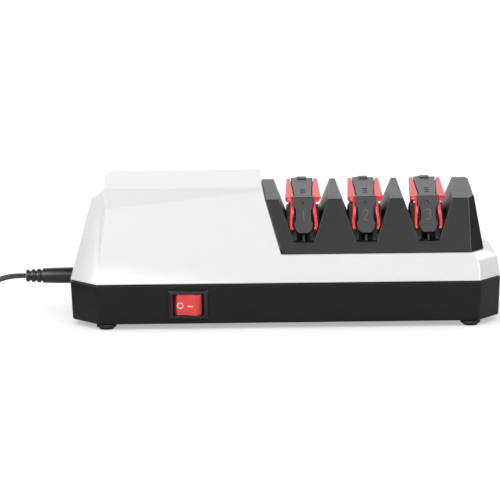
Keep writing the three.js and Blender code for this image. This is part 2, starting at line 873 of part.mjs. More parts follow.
function makeMotorEndCap() {
  const hole = motorShaftRadius + fitGap;
  const spigot = motorRadius - motorCanWall - fitGap;
  const rim = motorBackX + motorCapRim;
  const profile = [
    [hole, motorBackX - motorBossLength],
    [motorBossRadius, motorBackX - motorBossLength],
    [motorBossRadius, motorBackX],
    [motorRadius, motorBackX],
    [motorRadius, rim],
    [spigot, rim],
    [spigot, rim + motorSpigotLength],
    [hole, rim + motorSpigotLength],
  ];
  return revolve(profile, 'x');
}

// Band over the motor: an arch across the spindle with an ear at each side
const bandEarZ = shaftZ - bandEarDrop;
const bandInside = motorRadius + fitGap;
const bandScrewY = bandInside + bandThickness + bandEarLength / 2;

function makeMotorBand() {
  const outside = bandInside + bandThickness;
  const ear = outside + bandEarLength;
  const earTop = bandEarZ + bandThickness;
  const shape = new THREE.Shape();
  shape.moveTo(-ear, bandEarZ);
  shape.lineTo(-bandInside, bandEarZ);
  shape.lineTo(-bandInside, shaftZ);
  shape.absarc(0, shaftZ, bandInside, Math.PI, 0, true);
  shape.lineTo(bandInside, bandEarZ);
  shape.lineTo(ear, bandEarZ);
  shape.lineTo(ear, earTop);
  shape.lineTo(outside, earTop);
  shape.lineTo(outside, shaftZ);
  shape.absarc(0, shaftZ, outside, 0, Math.PI, false);
  shape.lineTo(-outside, earTop);
  shape.lineTo(-ear, earTop);
  const arch = prism(shape, 'x', motorMiddleX - bandWidth / 2, motorMiddleX + bandWidth / 2);
  const holes = [-1, 1].map((side) => {
    const y = side * bandScrewY;
    return rodZ(screwRadius + fitGap, bandEarZ - overrun, shaftZ, motorMiddleX, y, smallSides);
  });
  return cut(arch, ...holes);
}

// Bearing and the block that carries it; a lip on one side of the block keeps the bearing in
function makeBearing() {
  const bore = shaftRadius + fitGap;
  const edge = bearingLip / 2;
  const profile = [
    [bore, 0],
    [bearingRadius - edge, 0],
    [bearingRadius, edge],
    [bearingRadius, bearingWidth],
    [bore, bearingWidth],
  ];
  return revolve(profile, 'x');
}

function makeBearingBlock() {
  const foot = floorZ + fitGap - shaftZ;
  const land = bearingRadius + blockLand;
  const shape = new THREE.Shape();
  shape.moveTo(-blockHalfDepth, foot);
  shape.lineTo(blockHalfDepth, foot);
  shape.lineTo(blockHalfDepth, foot + blockFootHeight);
  shape.lineTo(land, 0);
  shape.absarc(0, 0, land, 0, Math.PI, false);
  shape.lineTo(-blockHalfDepth, foot + blockFootHeight);
  const body = prism(shape, 'x', -blockWidth / 2, blockWidth / 2);
  const seat = rodX(bearingRadius + fitGap, bearingSeatX, blockWidth, 0, 0);
  const hole = rodX(bearingRadius - bearingLip, -blockWidth, blockWidth, 0, 0);
  return cut(body, seat, hole);
}

// Frames and places that the base gives to the switch, the socket and the feet
const switchFrame = new THREE.Matrix4()
  .makeRotationX(Math.atan(baseDraftShare))
  .setPosition(switchX, -halfDepth + baseDraftShare * switchDrop, partingZ - switchDrop);
const socketX = -halfLength + baseDraftShare * socketDrop;
const socketZ = partingZ - socketDrop;
const footPlaces = [-1, 1].flatMap((side) => {
  const y = side * (halfDepth - footInsetY);
  return [[-halfLength + leftFootInsetX, y], [halfLength - rightFootInsetX, y]];
});

// Base tub with its lip, posts, cradle and locators, and the openings for switch and socket
function makeBaseTub() {
  const shell = cut(
    loft([baseRing(baseHeight, 0), baseRing(fitGap, 0)]),
    loft([baseRing(baseHeight - wall, wall), baseRing(-overrun, wall)]),
  );
  const rooted = floorZ - wall / 2;
  const posts = postPlaces.map(([x, y]) => rodZ(postRadius, rooted, partingZ - fitGap, x, y, smallSides));
  const bandPosts = [-1, 1].map((side) => {
    return rodZ(bandPostRadius, rooted, bandEarZ - fitGap, motorMiddleX, side * bandScrewY, smallSides);
  });
  const cradleTop = shaftZ - motorRadius / 2;
  const cradles = [motorFaceX - cradleInset, motorBackX + cradleInset].map((x) => {
    const half = cradleThickness / 2;
    return block(x - half, x + half, -cradleHalfDepth, cradleHalfDepth, rooted, cradleTop);
  });
  const locators = [leftBearingX, rightBearingX].flatMap((x) =>
    [-1, 1].map((side) => {
      const middle = x + side * (blockWidth / 2 + fitGap + locatorWidth / 2);
      const half = locatorWidth / 2;
      const top = floorZ + locatorHeight;
      return block(middle - half, middle + half, -blockHalfDepth, blockHalfDepth, rooted, top);
    }),
  );
  const seats = [...posts, ...bandPosts, ...cradles, ...locators, makeSocketShelf(rooted)];
  const body = join(shell, makeLip(), ...seats);
  const motorSpace = rodX(motorRadius + fitGap, motorBackX - overrun, motorFaceX + overrun, 0, shaftZ);
  return cut(body, motorSpace, ...baseBores(), ...socketSpace(), switchHole());
}

function makeLip() {
  const outer = wall + fitGap;
  const inner = outer + lipThickness;
  const raised = (rise, inset) => ring(coverPlan(rise, inset), partingZ + rise);
  const outside = [
    baseRing(lipRoot, wall / 2),
    baseRing(fitGap, wall / 2),
    raised(0, outer),
    raised(lipHeight, outer),
  ];
  const inside = [baseRing(lipRoot + overrun, inner), raised(0, inner), raised(lipHeight + overrun, inner)];
  return cut(loft(outside), loft(inside));
}

function makeSocketShelf(rooted) {
  const x0 = socketX + wall + fitGap;
  const half = socketBodyHalf;
  const top = socketZ - half - fitGap;
  return block(x0, x0 + socketShelfLength, socketY - half, socketY + half, rooted, top);
}

function socketSpace() {
  const noseX1 = socketX + wall + overrun;
  const noseHole = socketNoseRadius + fitGap;
  const nose = rodX(noseHole, socketX - overrun, noseX1, socketY, socketZ, smallSides);
  const half = socketBodyHalf + fitGap;
  const x0 = socketX + wall;
  const top = partingZ + lipHeight + overrun;
  const room = block(x0, x0 + socketBodyLength, socketY - half, socketY + half, socketZ - half, top);
  return [nose, room];
}

function baseBores() {
  const under = footHeight - overrun;
  const headBores = postPlaces.map(([x, y]) =>
    rodZ(screwHeadRadius + fitGap, under, screwSeatZ, x, y, smallSides),
  );
  const screwBores = postPlaces.map(([x, y]) =>
    rodZ(screwRadius + fitGap, under, partingZ, x, y, smallSides),
  );
  const bandBores = [-1, 1].map((side) => {
    const foot = bandEarZ - bandScrewLength;
    return rodZ(screwRadius + fitGap, foot, shaftZ, motorMiddleX, side * bandScrewY, smallSides);
  });
  const stems = footPlaces.map(([x, y]) =>
    rodZ(footStemRadius + fitGap, under, footHeight + footStemLength, x, y, smallSides),
  );
  return [...headBores, ...screwBores, ...bandBores, ...stems];
}

function switchHole() {
  const length = switchBodyLength + 2 * fitGap;
  const height = switchBodyHeight + 2 * fitGap;
  return solid(new THREE.BoxGeometry(length, 2 * switchBodyDepth, height).applyMatrix4(switchFrame));
}

// Rocker switch, in the frame of the sloping front: Y runs inwards, Z up
const terminalXs = [-terminalPitch / 2, terminalPitch / 2];

function makeSwitchHousing() {
  const rectangle = (length, height, y) => [
    [-length / 2, y, -height / 2],
    [length / 2, y, -height / 2],
    [length / 2, y, height / 2],
    [-length / 2, y, height / 2],
  ];
  const bezel = loft([
    rectangle(bezelLength, bezelHeight, -fitGap),
    rectangle(bezelLength, bezelHeight, bezelChamfer - bezelProud),
    rectangle(bezelLength - 2 * bezelChamfer, bezelHeight - 2 * bezelChamfer, -bezelProud),
  ]);
  const bodyX = switchBodyLength / 2;
  const bodyZ = switchBodyHeight / 2;
  const body = block(-bodyX, bodyX, -bezelProud / 2, switchBodyDepth, -bodyZ, bodyZ);
  const wellX = rockerLength / 2 + rockerEndGap;
  const wellZ = rockerHeight / 2 + rockerSideGap;
  const well = block(-wellX, wellX, -bezelProud - overrun, switchWell, -wellZ, wellZ);
  const trunnion = rockerHeight / 2 + trunnionLength + fitGap;
  const sockets = rodZ(trunnionRadius + fitGap, -trunnion, trunnion, 0, rockerPivotDepth, smallSides);
  const slots = terminalXs.map((x) => terminal(x, fitGap));
  return cut(join(bezel, body), well, sockets, ...slots);
}

function terminal(x, grow) {
  const halfX = terminalThickness / 2 + grow;
  const halfZ = terminalWidth / 2 + grow;
  const root = switchBodyDepth - terminalRoot - grow;
  return block(x - halfX, x + halfX, root, switchBodyDepth + terminalLength, -halfZ, halfZ);
}

// Rocker about its trunnions, its face dipped between two crests
function makeRocker() {
  const end = rockerLength / 2;
  const depth = (y) => y - rockerPivotDepth;
  const outline = [
    [-end, depth(rockerEndDepth)],
    [-rockerCrestHalf, depth(-rockerCrestRise)],
    [0, depth(-rockerValleyRise)],
    [rockerCrestHalf, depth(-rockerCrestRise)],
    [end, depth(rockerEndDepth)],
    [rockerSkirtHalf, depth(rockerSkirtDepth)],
    [-rockerSkirtHalf, depth(rockerSkirtDepth)],
  ];
  const half = rockerHeight / 2;
  const reach = half + trunnionLength;
  return join(prism(outline, 'z', -half, half), rodZ(trunnionRadius, -reach, reach, 0, 0, smallSides));
}

// Socket, in its own frame: X runs inwards from the wall's outer face
function makeSocket() {
  const nose = rodX(socketNoseRadius, 0, wall + overrun, 0, 0, smallSides);
  const x0 = wall + fitGap;
  const half = socketBodyHalf;
  const body = block(x0, x0 + socketBodyLength, -half, half, -half, half);
  const bore = rodX(socketBoreRadius, -overrun, socketBoreDepth, 0, 0, smallSides);
  const pin = rodX(socketPinRadius, socketPinInset, socketBoreDepth + overrun, 0, 0, smallSides);
  return join(cut(join(nose, body), bore), pin);
}

// Plug, in its own frame: its face against the wall at zero, its body towards minus X
const plugLength = plugBodyLength + reliefRibs * reliefRibPitch;

function makePlug() {
  const seat = barrelRadius + fitGap;
  const depth = -barrelRoot - fitGap;
  const profile = [
    [0, depth],
    [seat, depth],
    [seat, 0],
    [plugRadius - plugEdge, 0],
    [plugRadius, -plugEdge],
    [plugRearRadius, -plugBodyLength],
  ];
  for (let i = 0; i < reliefRibs; i++) {
    const start = -plugBodyLength - i * reliefRibPitch;
    const radius = THREE.MathUtils.lerp(plugRearRadius, reliefEndRadius, (i + 1) / reliefRibs);
    profile.push([reliefNeckRadius, start], [reliefNeckRadius, start - reliefSlot]);
    profile.push([radius, start - reliefSlot], [radius, start - reliefRibPitch]);
  }
  profile.push([0, -plugLength]);
  return revolve(profile, 'x', smallSides);
}

function makeBarrel() {
  const profile = [
    [barrelBoreRadius, -barrelRoot],
    [barrelRadius, -barrelRoot],
    [barrelRadius, barrelLength],
    [barrelBoreRadius, barrelLength],
  ];
  return revolve(profile, 'x', smallSides);
}

// Coil of the lead: it spirals in and out at a steady rate and climbs where the spiral turns back
const coilTurns = coilLayers * layerTurns;
const coilOuterRadius = coilInnerRadius + layerTurns * turnPitch;
const coilFootZ = leadRadius + tieThickness + tieGap;
const coilHeadZ = coilFootZ + (coilLayers - 1) * layerPitch;

function coilPoint(turn) {
  const swing = Math.abs(((turn / layerTurns) % 2) - 1);
  const radius = coilInnerRadius + swing * layerTurns * turnPitch;
  let climb = 0;
  for (let layer = 1; layer < coilLayers; layer++) {
    climb += THREE.MathUtils.clamp((turn - layer * layerTurns) / climbTurns + 1 / 2, 0, 1);
  }
  const angle = Math.PI / 2 + 2 * Math.PI * turn;
  return point(radius * Math.cos(angle), radius * Math.sin(angle), coilFootZ + climb * layerPitch);
}

const coilPoints = (steps) => Array.from({ length: coilTurns * steps + 1 }, (_, i) => coilPoint(i / steps));

function makeCoil() {
  const points = coilPoints(loopSteps);
  const start = points[0].clone().add(point(leadDiameter, 0, 0));
  const end = points[points.length - 1].clone().add(point(0, -leadDiameter, 0));
  return wireThrough([start, ...points, end], leadRadius, coilSides);
}

// Flat tie round the bundle, sized to the turns that pass through it
function makeTie() {
  const near = coilPoints(gapSteps).filter((p) => {
    const across = p.clone().applyAxisAngle(point(0, 0, 1), -tieAngle);
    return across.x > 0 && Math.abs(across.y) < tieWidth;
  });
  const radii = near.map((p) => Math.hypot(p.x, p.y));
  const heights = near.map((p) => p.z);
  const tube = (grow, half) =>
    block(
      Math.min(...radii) - grow,
      Math.max(...radii) + grow,
      -half,
      half,
      Math.min(...heights) - grow,
      Math.max(...heights) + grow,
    );
  const clear = leadRadius + tieGap;
  const band = cut(tube(clear + tieThickness, tieWidth / 2), tube(clear, tieWidth));
  return solid(geometryOf(band).rotateZ(tieAngle));
}

// Free stretches of the lead, their points chosen by hand
const coilY = socketY - coilOuterRadius;
const leadEndX = coilX + leadDiameter + fitGap;
const leadRoute = [
  [-141.85, socketY, 19.2],
  [-145, socketY, 19.2],
  [-148.5, socketY, 19],
  [-152.3, socketY, 18.4],
  [-156, socketY, 17.3],
  [-160, socketY, 15],
  [-163.5, socketY, 12],
  [-167, socketY, 8.8],
  [-170.5, socketY, 5.9],
  [-174, socketY, 3.9],
  [-177.5, socketY, 3.1],
  [-180, socketY, 2.95],
  [leadEndX, socketY, 2.95],
];
const tailX = coilX - coilOuterRadius;
const tailStartY = coilY - leadDiameter - fitGap;
const tailRoute = [
  [tailX, tailStartY, coilHeadZ],
  [tailX, -8.9, coilHeadZ],
  [tailX, -11.5, 13.2],
  [tailX, -14, 13],
  [tailX, -16.5, 13.2],
  [tailX, -18.7, 13.5],
  [tailX, -21.7, 13.5],
];

function makeFreeLead(route) {
  const path = new THREE.CatmullRomCurve3(route.map((p) => point(...p)), false, 'centripetal');
  const section = new THREE.Shape();
  for (let i = 0; i < leadSides; i++) {
    const angle = (2 * Math.PI * i) / leadSides;
    const corner = [leadRadius * Math.cos(angle), leadRadius * Math.sin(angle)];
    if (i === 0) section.moveTo(...corner);
    else section.lineTo(...corner);
  }
  const steps = Math.ceil(path.getLength() / leadDiameter);
  return solid(new THREE.ExtrudeGeometry(section, { steps, extrudePath: path, bevelEnabled: false }));
}

// Adapter, in its own frame: the lead enters at the origin and the body runs towards minus Y
const prongXs = [-prongPitch / 2, prongPitch / 2];

function makeAdapter() {
  const x = adapterWidth / 2;
  const z = adapterHeight / 2;
  const outline = [
    [-x + adapterEdge, -z],
    [x - adapterEdge, -z],
    [x, -z + adapterEdge],
    [x, z - adapterEdge],
    [x - adapterEdge, z],
    [-x + adapterEdge, z],
    [-x, z - adapterEdge],
    [-x, -z + adapterEdge],
  ];
  const y1 = -adapterNoseLength;
  const nose = rodY(adapterNoseRadius, y1 - overrun, 0, 0, 0, smallSides);
  const body = join(prism(outline, 'y', y1 - adapterLength, y1), nose);
  return cut(body, ...prongXs.map((px) => prong(px, fitGap)));
}

function prong(x, grow) {
  const face = -adapterNoseLength - adapterLength;
  const halfX = prongThickness / 2 + grow;
  const halfZ = prongWidth / 2 + grow;
  return block(x - halfX, x + halfX, face - prongLength, face + prongRoot + grow, -halfZ, halfZ);
}

function makeScrew(length) {
  const profile = [
    [0, -length],
    [screwRadius, -length],
    [screwRadius, 0],
    [screwHeadRadius, 0],
    [screwHeadRadius, screwHeadHeight],
    [screwHeadRadius / 2, screwHeadHeight],
    [0, screwHeadHeight / 2],
  ];
  return revolve(profile, 'z', smallSides);
}

function makeFoot() {
  const collar = footHeight - fitGap;
  const stem = footHeight + footStemLength - fitGap;
  const profile = [
    [0, 0],
    [footPadRadius, 0],
    [footPadRadius, footPadHeight],
    [footCollarRadius, footPadHeight],
    [footCollarRadius, collar],
    [footStemRadius, collar],
    [footStemRadius, stem],
    [0, stem],
  ];
  return revolve(profile, 'z', smallSides);
}

// Assembly. The rocker stands proud of the front, so the housing sits back by half of that.
const rockerReach =
  rockerCrestHalf * Math.sin(rockerTilt) +
  (rockerCrestRise + rockerPivotDepth) * Math.cos(rockerTilt) -
  rockerPivotDepth;
const sharpener = new THREE.Group();
sharpener.position.y = (rockerReach - baseDraftShare * switchDrop) / 2;

place(sharpener, 'base_tub', 'blackPlastic', makeBaseTub());
const upper = groupAt(sharpener, 0, 0, partingZ);
place(upper, 'top_cover', 'whitePlastic', makeCover());
place(upper, 'guide_housing', 'greyPlastic', makeGuideHousing());

footPlaces.forEach(([x, y], i) => {
  place(groupAt(sharpener, x, y, 0), `foot_${i + 1}`, 'rubber', makeFoot());
});

postPlaces.forEach(([x, y], i) => {
  const seat = groupAt(sharpener, x, y, screwSeatZ - fitGap);
  seat.rotation.x = Math.PI;
  place(seat, `housing_screw_${i + 1}`, 'zinc', makeScrew(coverScrewLength));
});

stageXs.forEach((x, i) => {
  const stage = groupAt(upper, x, 0, 0);
  const tag = `stage_${i + 1}`;
  place(stage, `${tag}_guide_clip`, 'greyPlastic', makeClip());
  place(stage, `${tag}_left_presser`, 'redPlastic', makePresser(-1));
  place(stage, `${tag}_right_presser`, 'redPlastic', makePresser(1));
  place(stage, `${tag}_presser_pin`, 'steel', rodY(pinRadius, -pinEndY, pinEndY, 0, pivotRise, smallSides));
  const spring = wireThrough(springPoints(springTurnSteps), springWireRadius, springSides);
  place(groupAt(stage, 0, 0, pivotRise), `${tag}_presser_spring`, 'steel', spring);
});

const spindle = groupAt(sharpener, 0, 0, shaftZ);
place(spindle, 'spindle_shaft', 'steel', makeShaft());
place(spindle, 'shaft_coupling', 'blackPlastic', makeCoupling());
place(spindle, 'motor_rotor', 'copper', makeRotor());
stageXs.forEach((x, i) => {
  const left = place(spindle, `stage_${i + 1}_left_wheel`, 'grit', makeWheel());
  left.position.x = x;
  left.rotation.z = Math.PI;
  place(spindle, `stage_${i + 1}_right_wheel`, 'grit', makeWheel()).position.x = x;
});

const carrier = groupAt(sharpener, 0, 0, shaftZ);
place(carrier, 'motor_can', 'zinc', makeMotorCan());
place(carrier, 'motor_end_cap', 'blackPlastic', makeMotorEndCap());
[['left', leftBearingX, Math.PI], ['right', rightBearingX, 0]].forEach(([name, x, turn]) => {
  const seat = groupAt(carrier, x, 0, 0);
  seat.rotation.z = turn;
  place(seat, `${name}_bearing_block`, 'blackPlastic', makeBearingBlock());
  place(seat, `${name}_bearing`, 'steel', makeBearing()).position.x = bearingSeatX + fitGap;
});
place(sharpener, 'motor_band', 'zinc', makeMotorBand());
[-1, 1].forEach((side, i) => {
  const seat = groupAt(sharpener, motorMiddleX, side * bandScrewY, bandEarZ + bandThickness + fitGap);
  place(seat, `motor_band_screw_${i + 1}`, 'zinc', makeScrew(bandScrewLength));
});

const switchGroup = new THREE.Group();
switchGroup.applyMatrix4(switchFrame);
sharpener.add(switchGroup);
place(switchGroup, 'switch_housing', 'blackPlastic', makeSwitchHousing());
terminalXs.forEach((x, i) => {
  place(switchGroup, `switch_terminal_${i + 1}`, 'copper', terminal(x, 0));
});
const rockerGroup = groupAt(switchGroup, 0, rockerPivotDepth, 0);
rockerGroup.rotation.z = -rockerTilt;
place(rockerGroup, 'rocker_cap', 'redPlastic', makeRocker());

place(groupAt(sharpener, socketX, socketY, socketZ), 'dc_socket', 'blackPlastic', makeSocket());
const plug = groupAt(sharpener, socketX - fitGap, socketY, socketZ);
place(plug, 'dc_plug', 'blackPlastic', makePlug());
place(plug, 'dc_plug_barrel', 'steel', makeBarrel());
place(sharpener, 'cord_lead', 'blackPlastic', makeFreeLead(leadRoute));
place(sharpener, 'cord_tail', 'blackPlastic', makeFreeLead(tailRoute));
const coil = groupAt(sharpener, coilX, coilY, 0);
place(coil, 'cord_coil', 'blackPlastic', makeCoil());
place(coil, 'coil_tie', 'rubber', makeTie());
const adapter = groupAt(sharpener, tailX, adapterEntryY, adapterHeight / 2);
place(adapter, 'adapter_body', 'blackPlastic', makeAdapter());
prongXs.forEach((x, i) => {
  place(adapter, `adapter_prong_${i + 1}`, 'steel', prong(x, 0));
});

const coilGap = leastGap(coilPoints(gapSteps), gapSteps / 2, leadRadius);
const springGap = leastGap(springPoints(gapSteps), gapSteps / 2, springWireRadius);
console.log(`least gap of the lead's coil to itself: ${coilGap.toFixed(2)} mm`);
console.log(`least gap of a presser spring to itself: ${springGap.toFixed(2)} mm`);

export default sharpener;
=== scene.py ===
# %% [markdown]
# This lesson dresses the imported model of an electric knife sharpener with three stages. The model
# already holds every piece at its real size, so nothing here moves one. We give each piece its
# surface, put finer ones in the place of the round and wound pieces, round the edges of the large
# mouldings on copies, and light the whole as a product photographer would, on white. All lengths are
# in metres.

# %% Load the frame
import json
import math
from functools import partial

import bmesh
import bpy
from mathutils import Matrix, Vector
from mathutils.bvhtree import BVHTree


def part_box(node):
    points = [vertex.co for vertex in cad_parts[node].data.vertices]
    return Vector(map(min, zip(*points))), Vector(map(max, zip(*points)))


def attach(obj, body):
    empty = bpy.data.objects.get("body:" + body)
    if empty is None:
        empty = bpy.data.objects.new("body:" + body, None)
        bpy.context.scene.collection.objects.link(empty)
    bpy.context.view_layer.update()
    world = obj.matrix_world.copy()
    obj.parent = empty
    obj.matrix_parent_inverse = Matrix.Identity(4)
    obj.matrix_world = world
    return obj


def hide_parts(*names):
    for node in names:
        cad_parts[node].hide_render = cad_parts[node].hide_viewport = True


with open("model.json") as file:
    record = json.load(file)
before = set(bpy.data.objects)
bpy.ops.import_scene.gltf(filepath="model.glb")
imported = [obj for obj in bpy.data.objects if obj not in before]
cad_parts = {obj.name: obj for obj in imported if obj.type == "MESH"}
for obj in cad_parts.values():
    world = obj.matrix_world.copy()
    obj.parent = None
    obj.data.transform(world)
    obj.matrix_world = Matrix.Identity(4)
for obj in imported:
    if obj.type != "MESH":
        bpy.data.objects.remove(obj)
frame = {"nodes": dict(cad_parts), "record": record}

MM = 0.001
UP = Vector((0, 0, 1))
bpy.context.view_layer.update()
cad_nodes = frame["nodes"]
scene = bpy.context.scene

# %% [markdown]
# The camera comes first, because everything after it is compared with the photograph. It stands 1.6 m
# in front of the sharpener and 10 degrees up, with a long lens, so that parallel edges stay nearly
# parallel. A camera could also be aimed with a Track To constraint, but a matrix built from its own
# axes keeps the small roll of the photograph.

# %% Place the camera
PHOTO_PIXELS = 500
FOCAL_PIXELS = 2987.511
SENSOR_WIDTH = 36.0
NEAREST = 0.05
FARTHEST = 50
camera_spot = Vector((-0.0263508, -1.5934040, 0.3166094))
camera_right = Vector((0.99991941, -0.0067453, -0.01075485))
camera_up = Vector((0.0117628, 0.17361539, 0.98474328))
camera_back = camera_right.cross(camera_up)


def make_camera():
    data = bpy.data.cameras.new("photo_camera")
    data.sensor_width = SENSOR_WIDTH
    data.lens = SENSOR_WIDTH * FOCAL_PIXELS / PHOTO_PIXELS
    data.clip_start = NEAREST
    data.clip_end = FARTHEST
    camera = bpy.data.objects.new("photo_camera", data)
    axes = Matrix((camera_right, camera_up, camera_back)).transposed().to_4x4()
    camera.matrix_world = Matrix.Translation(camera_spot) @ axes
    scene.collection.objects.link(camera)
    scene.camera = camera
    return camera


camera = make_camera()
print("lens:", round(camera.data.lens, 1), "mm")

# %% [markdown]
# Two small builders make almost every new mesh: one sweeps a flat section along a path, the other
# turns a profile round an axis. Blender could do both with a curve bevel and a Screw modifier, but
# building the faces ourselves leaves clean, closed meshes with known ends.

# %% Build a mesh from points and faces
def add_piece(name, vertices, faces, smooth=True):
    mesh = bpy.data.meshes.new(name)
    mesh.from_pydata([tuple(v) for v in vertices], [], faces)
    mesh.update()
    shape = bmesh.new()
    shape.from_mesh(mesh)
    bmesh.ops.recalc_face_normals(shape, faces=shape.faces)
    shape.to_mesh(mesh)
    shape.free()
    mesh.polygons.foreach_set("use_smooth", [smooth] * len(mesh.polygons))
    piece = bpy.data.objects.new(name, mesh)
    scene.collection.objects.link(piece)
    return piece


# %% Join rings of points by faces
def tube_faces(rings, count):
    """The faces between rings of count points each, and a flat end on the first and the last."""
    faces = [tuple(range(count - 1, -1, -1))]
    for ring in range(rings - 1):
        for k in range(count):
            a = ring * count + k
            b = ring * count + (k + 1) % count
            faces.append((a, b, b + count, a + count))
    last = (rings - 1) * count
    faces.append(tuple(range(last, last + count)))
    return faces


# %% Sweep a section along a path
def sweep_mesh(path, section, twist):
    """Rings of the section's (side, up) points along the path, turned by twist, and their faces."""
    vertices = []
    for i, place in enumerate(path):
        before = path[max(i - 1, 0)]
        after = path[min(i + 1, len(path) - 1)]
        along = (after - before).normalized()
        side = Matrix.Rotation(twist[i], 3, along) @ along.cross(UP).normalized()
        over = side.cross(along)
        vertices += [place + side * s + over * u for s, u in section]
    return vertices, tube_faces(len(path), len(section))


# %% Turn a profile round an axis
def turn_mesh(profile, origin, axis, sides):
    """A closed body from (radius, along) points that start and end on the axis, or form a ring."""
    axis = Vector(axis).normalized()
    first = axis.orthogonal().normalized()
    second = axis.cross(first)
    vertices = []
    for radius, along in profile:
        for k in range(sides):
            angle = math.tau * k / sides
            spoke = first * math.cos(angle) + second * math.sin(angle)
            vertices.append(Vector(origin) + axis * along + spoke * radius)
    faces = []
    closed = profile[0][0] > 0
    for row in range(len(profile) if closed else len(profile) - 1):
        low = row * sides
        high = ((row + 1) % len(profile)) * sides
        for k in range(sides):
            after = (k + 1) % sides
            faces.append((low + k, low + after, high + after, high + k))
    return vertices, faces


# %% [markdown]
# Moulded and turned corners are never knife sharp. For turned pieces we round the corners of the
# profile before it is turned, which costs a few points and no modifier. A corner on the axis stays.

# %% Round the corners of a profile
LEAST_LENGTH = 1e-9
EDGE_SHARE = 2.2


def rounded(profile, radius, steps=4):
    """Each corner off the axis becomes a short curve that takes less than half of an edge."""
    smooth = []
    count = len(profile)
    for i, corner in enumerate(profile):
        here = Vector(corner)
        before = Vector(profile[i - 1]) - here
        after = Vector(profile[(i + 1) % count]) - here
        if corner[0] <= 0 or min(before.length, after.length) < LEAST_LENGTH:
            smooth.append(tuple(here))
            continue
        reach = min(radius, before.length / EDGE_SHARE, after.length / EDGE_SHARE)
        start = here + before.normalized() * reach
        end = here + after.normalized() * reach
        for step in range(steps + 1):
            t = step / steps
            smooth.append(tuple(start * (1 - t) ** 2 + here * 2 * t * (1 - t) + end * t**2))
    return smooth


# %% Make a turned piece
CREASE_ANGLE = math.radians(40)
AXIS_MERGE = 1e-7


def turned_piece(name, profile, origin, axis, sides=64, corner=0.0):
    """A turned mesh whose points on the axis are merged, with sharp shading at its creases."""
    outline = rounded(profile, corner) if corner > 0 else profile
    vertices, faces = turn_mesh(outline, origin, axis, sides)
    piece = add_piece(name, vertices, faces)
    merged = bmesh.new()
    merged.from_mesh(piece.data)
    bmesh.ops.remove_doubles(merged, verts=merged.verts, dist=AXIS_MERGE)
    bmesh.ops.recalc_face_normals(merged, faces=merged.faces)
    merged.to_mesh(piece.data)
    merged.free()
    piece.data.set_sharp_from_angle(angle=CREASE_ANGLE)
    return piece


# %% [markdown]
# Each finish below is a small node tree on a Principled shader. They share three habits of real
# plastic and metal: a fine grain that is bump only, a slow change of gloss from place to place, and a
# very slight change of tone. The noise reads object coordinates, so a finish sits still on its piece.

# %% Start a finish
def begin_finish(name, roughness, metallic=0.0, specular=0.5):
    material = bpy.data.materials.new(name)
    material.use_nodes = True
    tree = material.node_tree
    shader = tree.nodes["Principled BSDF"]
    shader.inputs["Roughness"].default_value = roughness
    shader.inputs["Metallic"].default_value = metallic
    shader.inputs["Specular IOR Level"].default_value = specular
    return material, tree, shader


def noise(tree, size, detail=2.0, squeeze=None):
    """Noise whose blotches are about the given size across, or drawn out where squeeze is small."""
    place = tree.nodes.new("ShaderNodeTexCoord").outputs["Object"]
    if squeeze:
        mapping = tree.nodes.new("ShaderNodeMapping")
        mapping.inputs["Scale"].default_value = squeeze
        tree.links.new(place, mapping.inputs["Vector"])
        place = mapping.outputs["Vector"]
    texture = tree.nodes.new("ShaderNodeTexNoise")
    texture.inputs["Scale"].default_value = 1.0 / size
    texture.inputs["Detail"].default_value = detail
    tree.links.new(place, texture.inputs["Vector"])
    return texture


# %% Vary the tone, the gloss and the relief
def vary_tone(tree, shader, dark, light, size):
    texture = noise(tree, size)
    ramp = tree.nodes.new("ShaderNodeValToRGB")
    ramp.color_ramp.elements[0].color = (*dark, 1)
    ramp.color_ramp.elements[1].color = (*light, 1)
    ramp.color_ramp.elements[0].position = 0.3
    ramp.color_ramp.elements[1].position = 0.7
    tree.links.new(texture.outputs["Fac"], ramp.inputs["Fac"])
    tree.links.new(ramp.outputs["Color"], shader.inputs["Base Color"])


def vary_gloss(tree, shader, low, high, size):
    texture = noise(tree, size)
    spread = tree.nodes.new("ShaderNodeMapRange")
    spread.inputs["To Min"].default_value = low
    spread.inputs["To Max"].default_value = high
    tree.links.new(texture.outputs["Fac"], spread.inputs["Value"])
    tree.links.new(spread.outputs["Result"], shader.inputs["Roughness"])


def add_relief(tree, shader, height, depth):
    bump = tree.nodes.new("ShaderNodeBump")
    bump.inputs["Distance"].default_value = depth
    tree.links.new(height, bump.inputs["Height"])
    tree.links.new(bump.outputs["Normal"], shader.inputs["Normal"])


def add_grain(tree, shader, size, depth, detail=3.0, squeeze=None):
    add_relief(tree, shader, noise(tree, size, detail, squeeze).outputs["Fac"], depth)


# %% A moulded plastic in any colour
def moulded(name, colour, gloss, grain=0.35 * MM, depth=0.006 * MM, specular=0.5, drift=0.06):
    """Spark-eroded mould grain: fine bump, a gloss that drifts and a tone that hardly does."""
    material, tree, shader = begin_finish(name, gloss, specular=specular)
    vary_tone(tree, shader, [c * (1 - drift) for c in colour], colour, size=9 * MM)
    vary_gloss(tree, shader, low=gloss - 0.04, high=gloss + 0.05, size=14 * MM)
    add_grain(tree, shader, grain, depth)
    return material


# %% [markdown]
# The cover is white ABS with a satin skin, and stands out against the white page only by its soft
# shading. The base, the guide housing and the clips are three near blacks. One colour would be easier,
# but the photograph shows the guide housing lighter than the base, and the clips lighter still. Part of
# that difference is gloss, so the guide housing has the darker pigment and the stronger reflection.

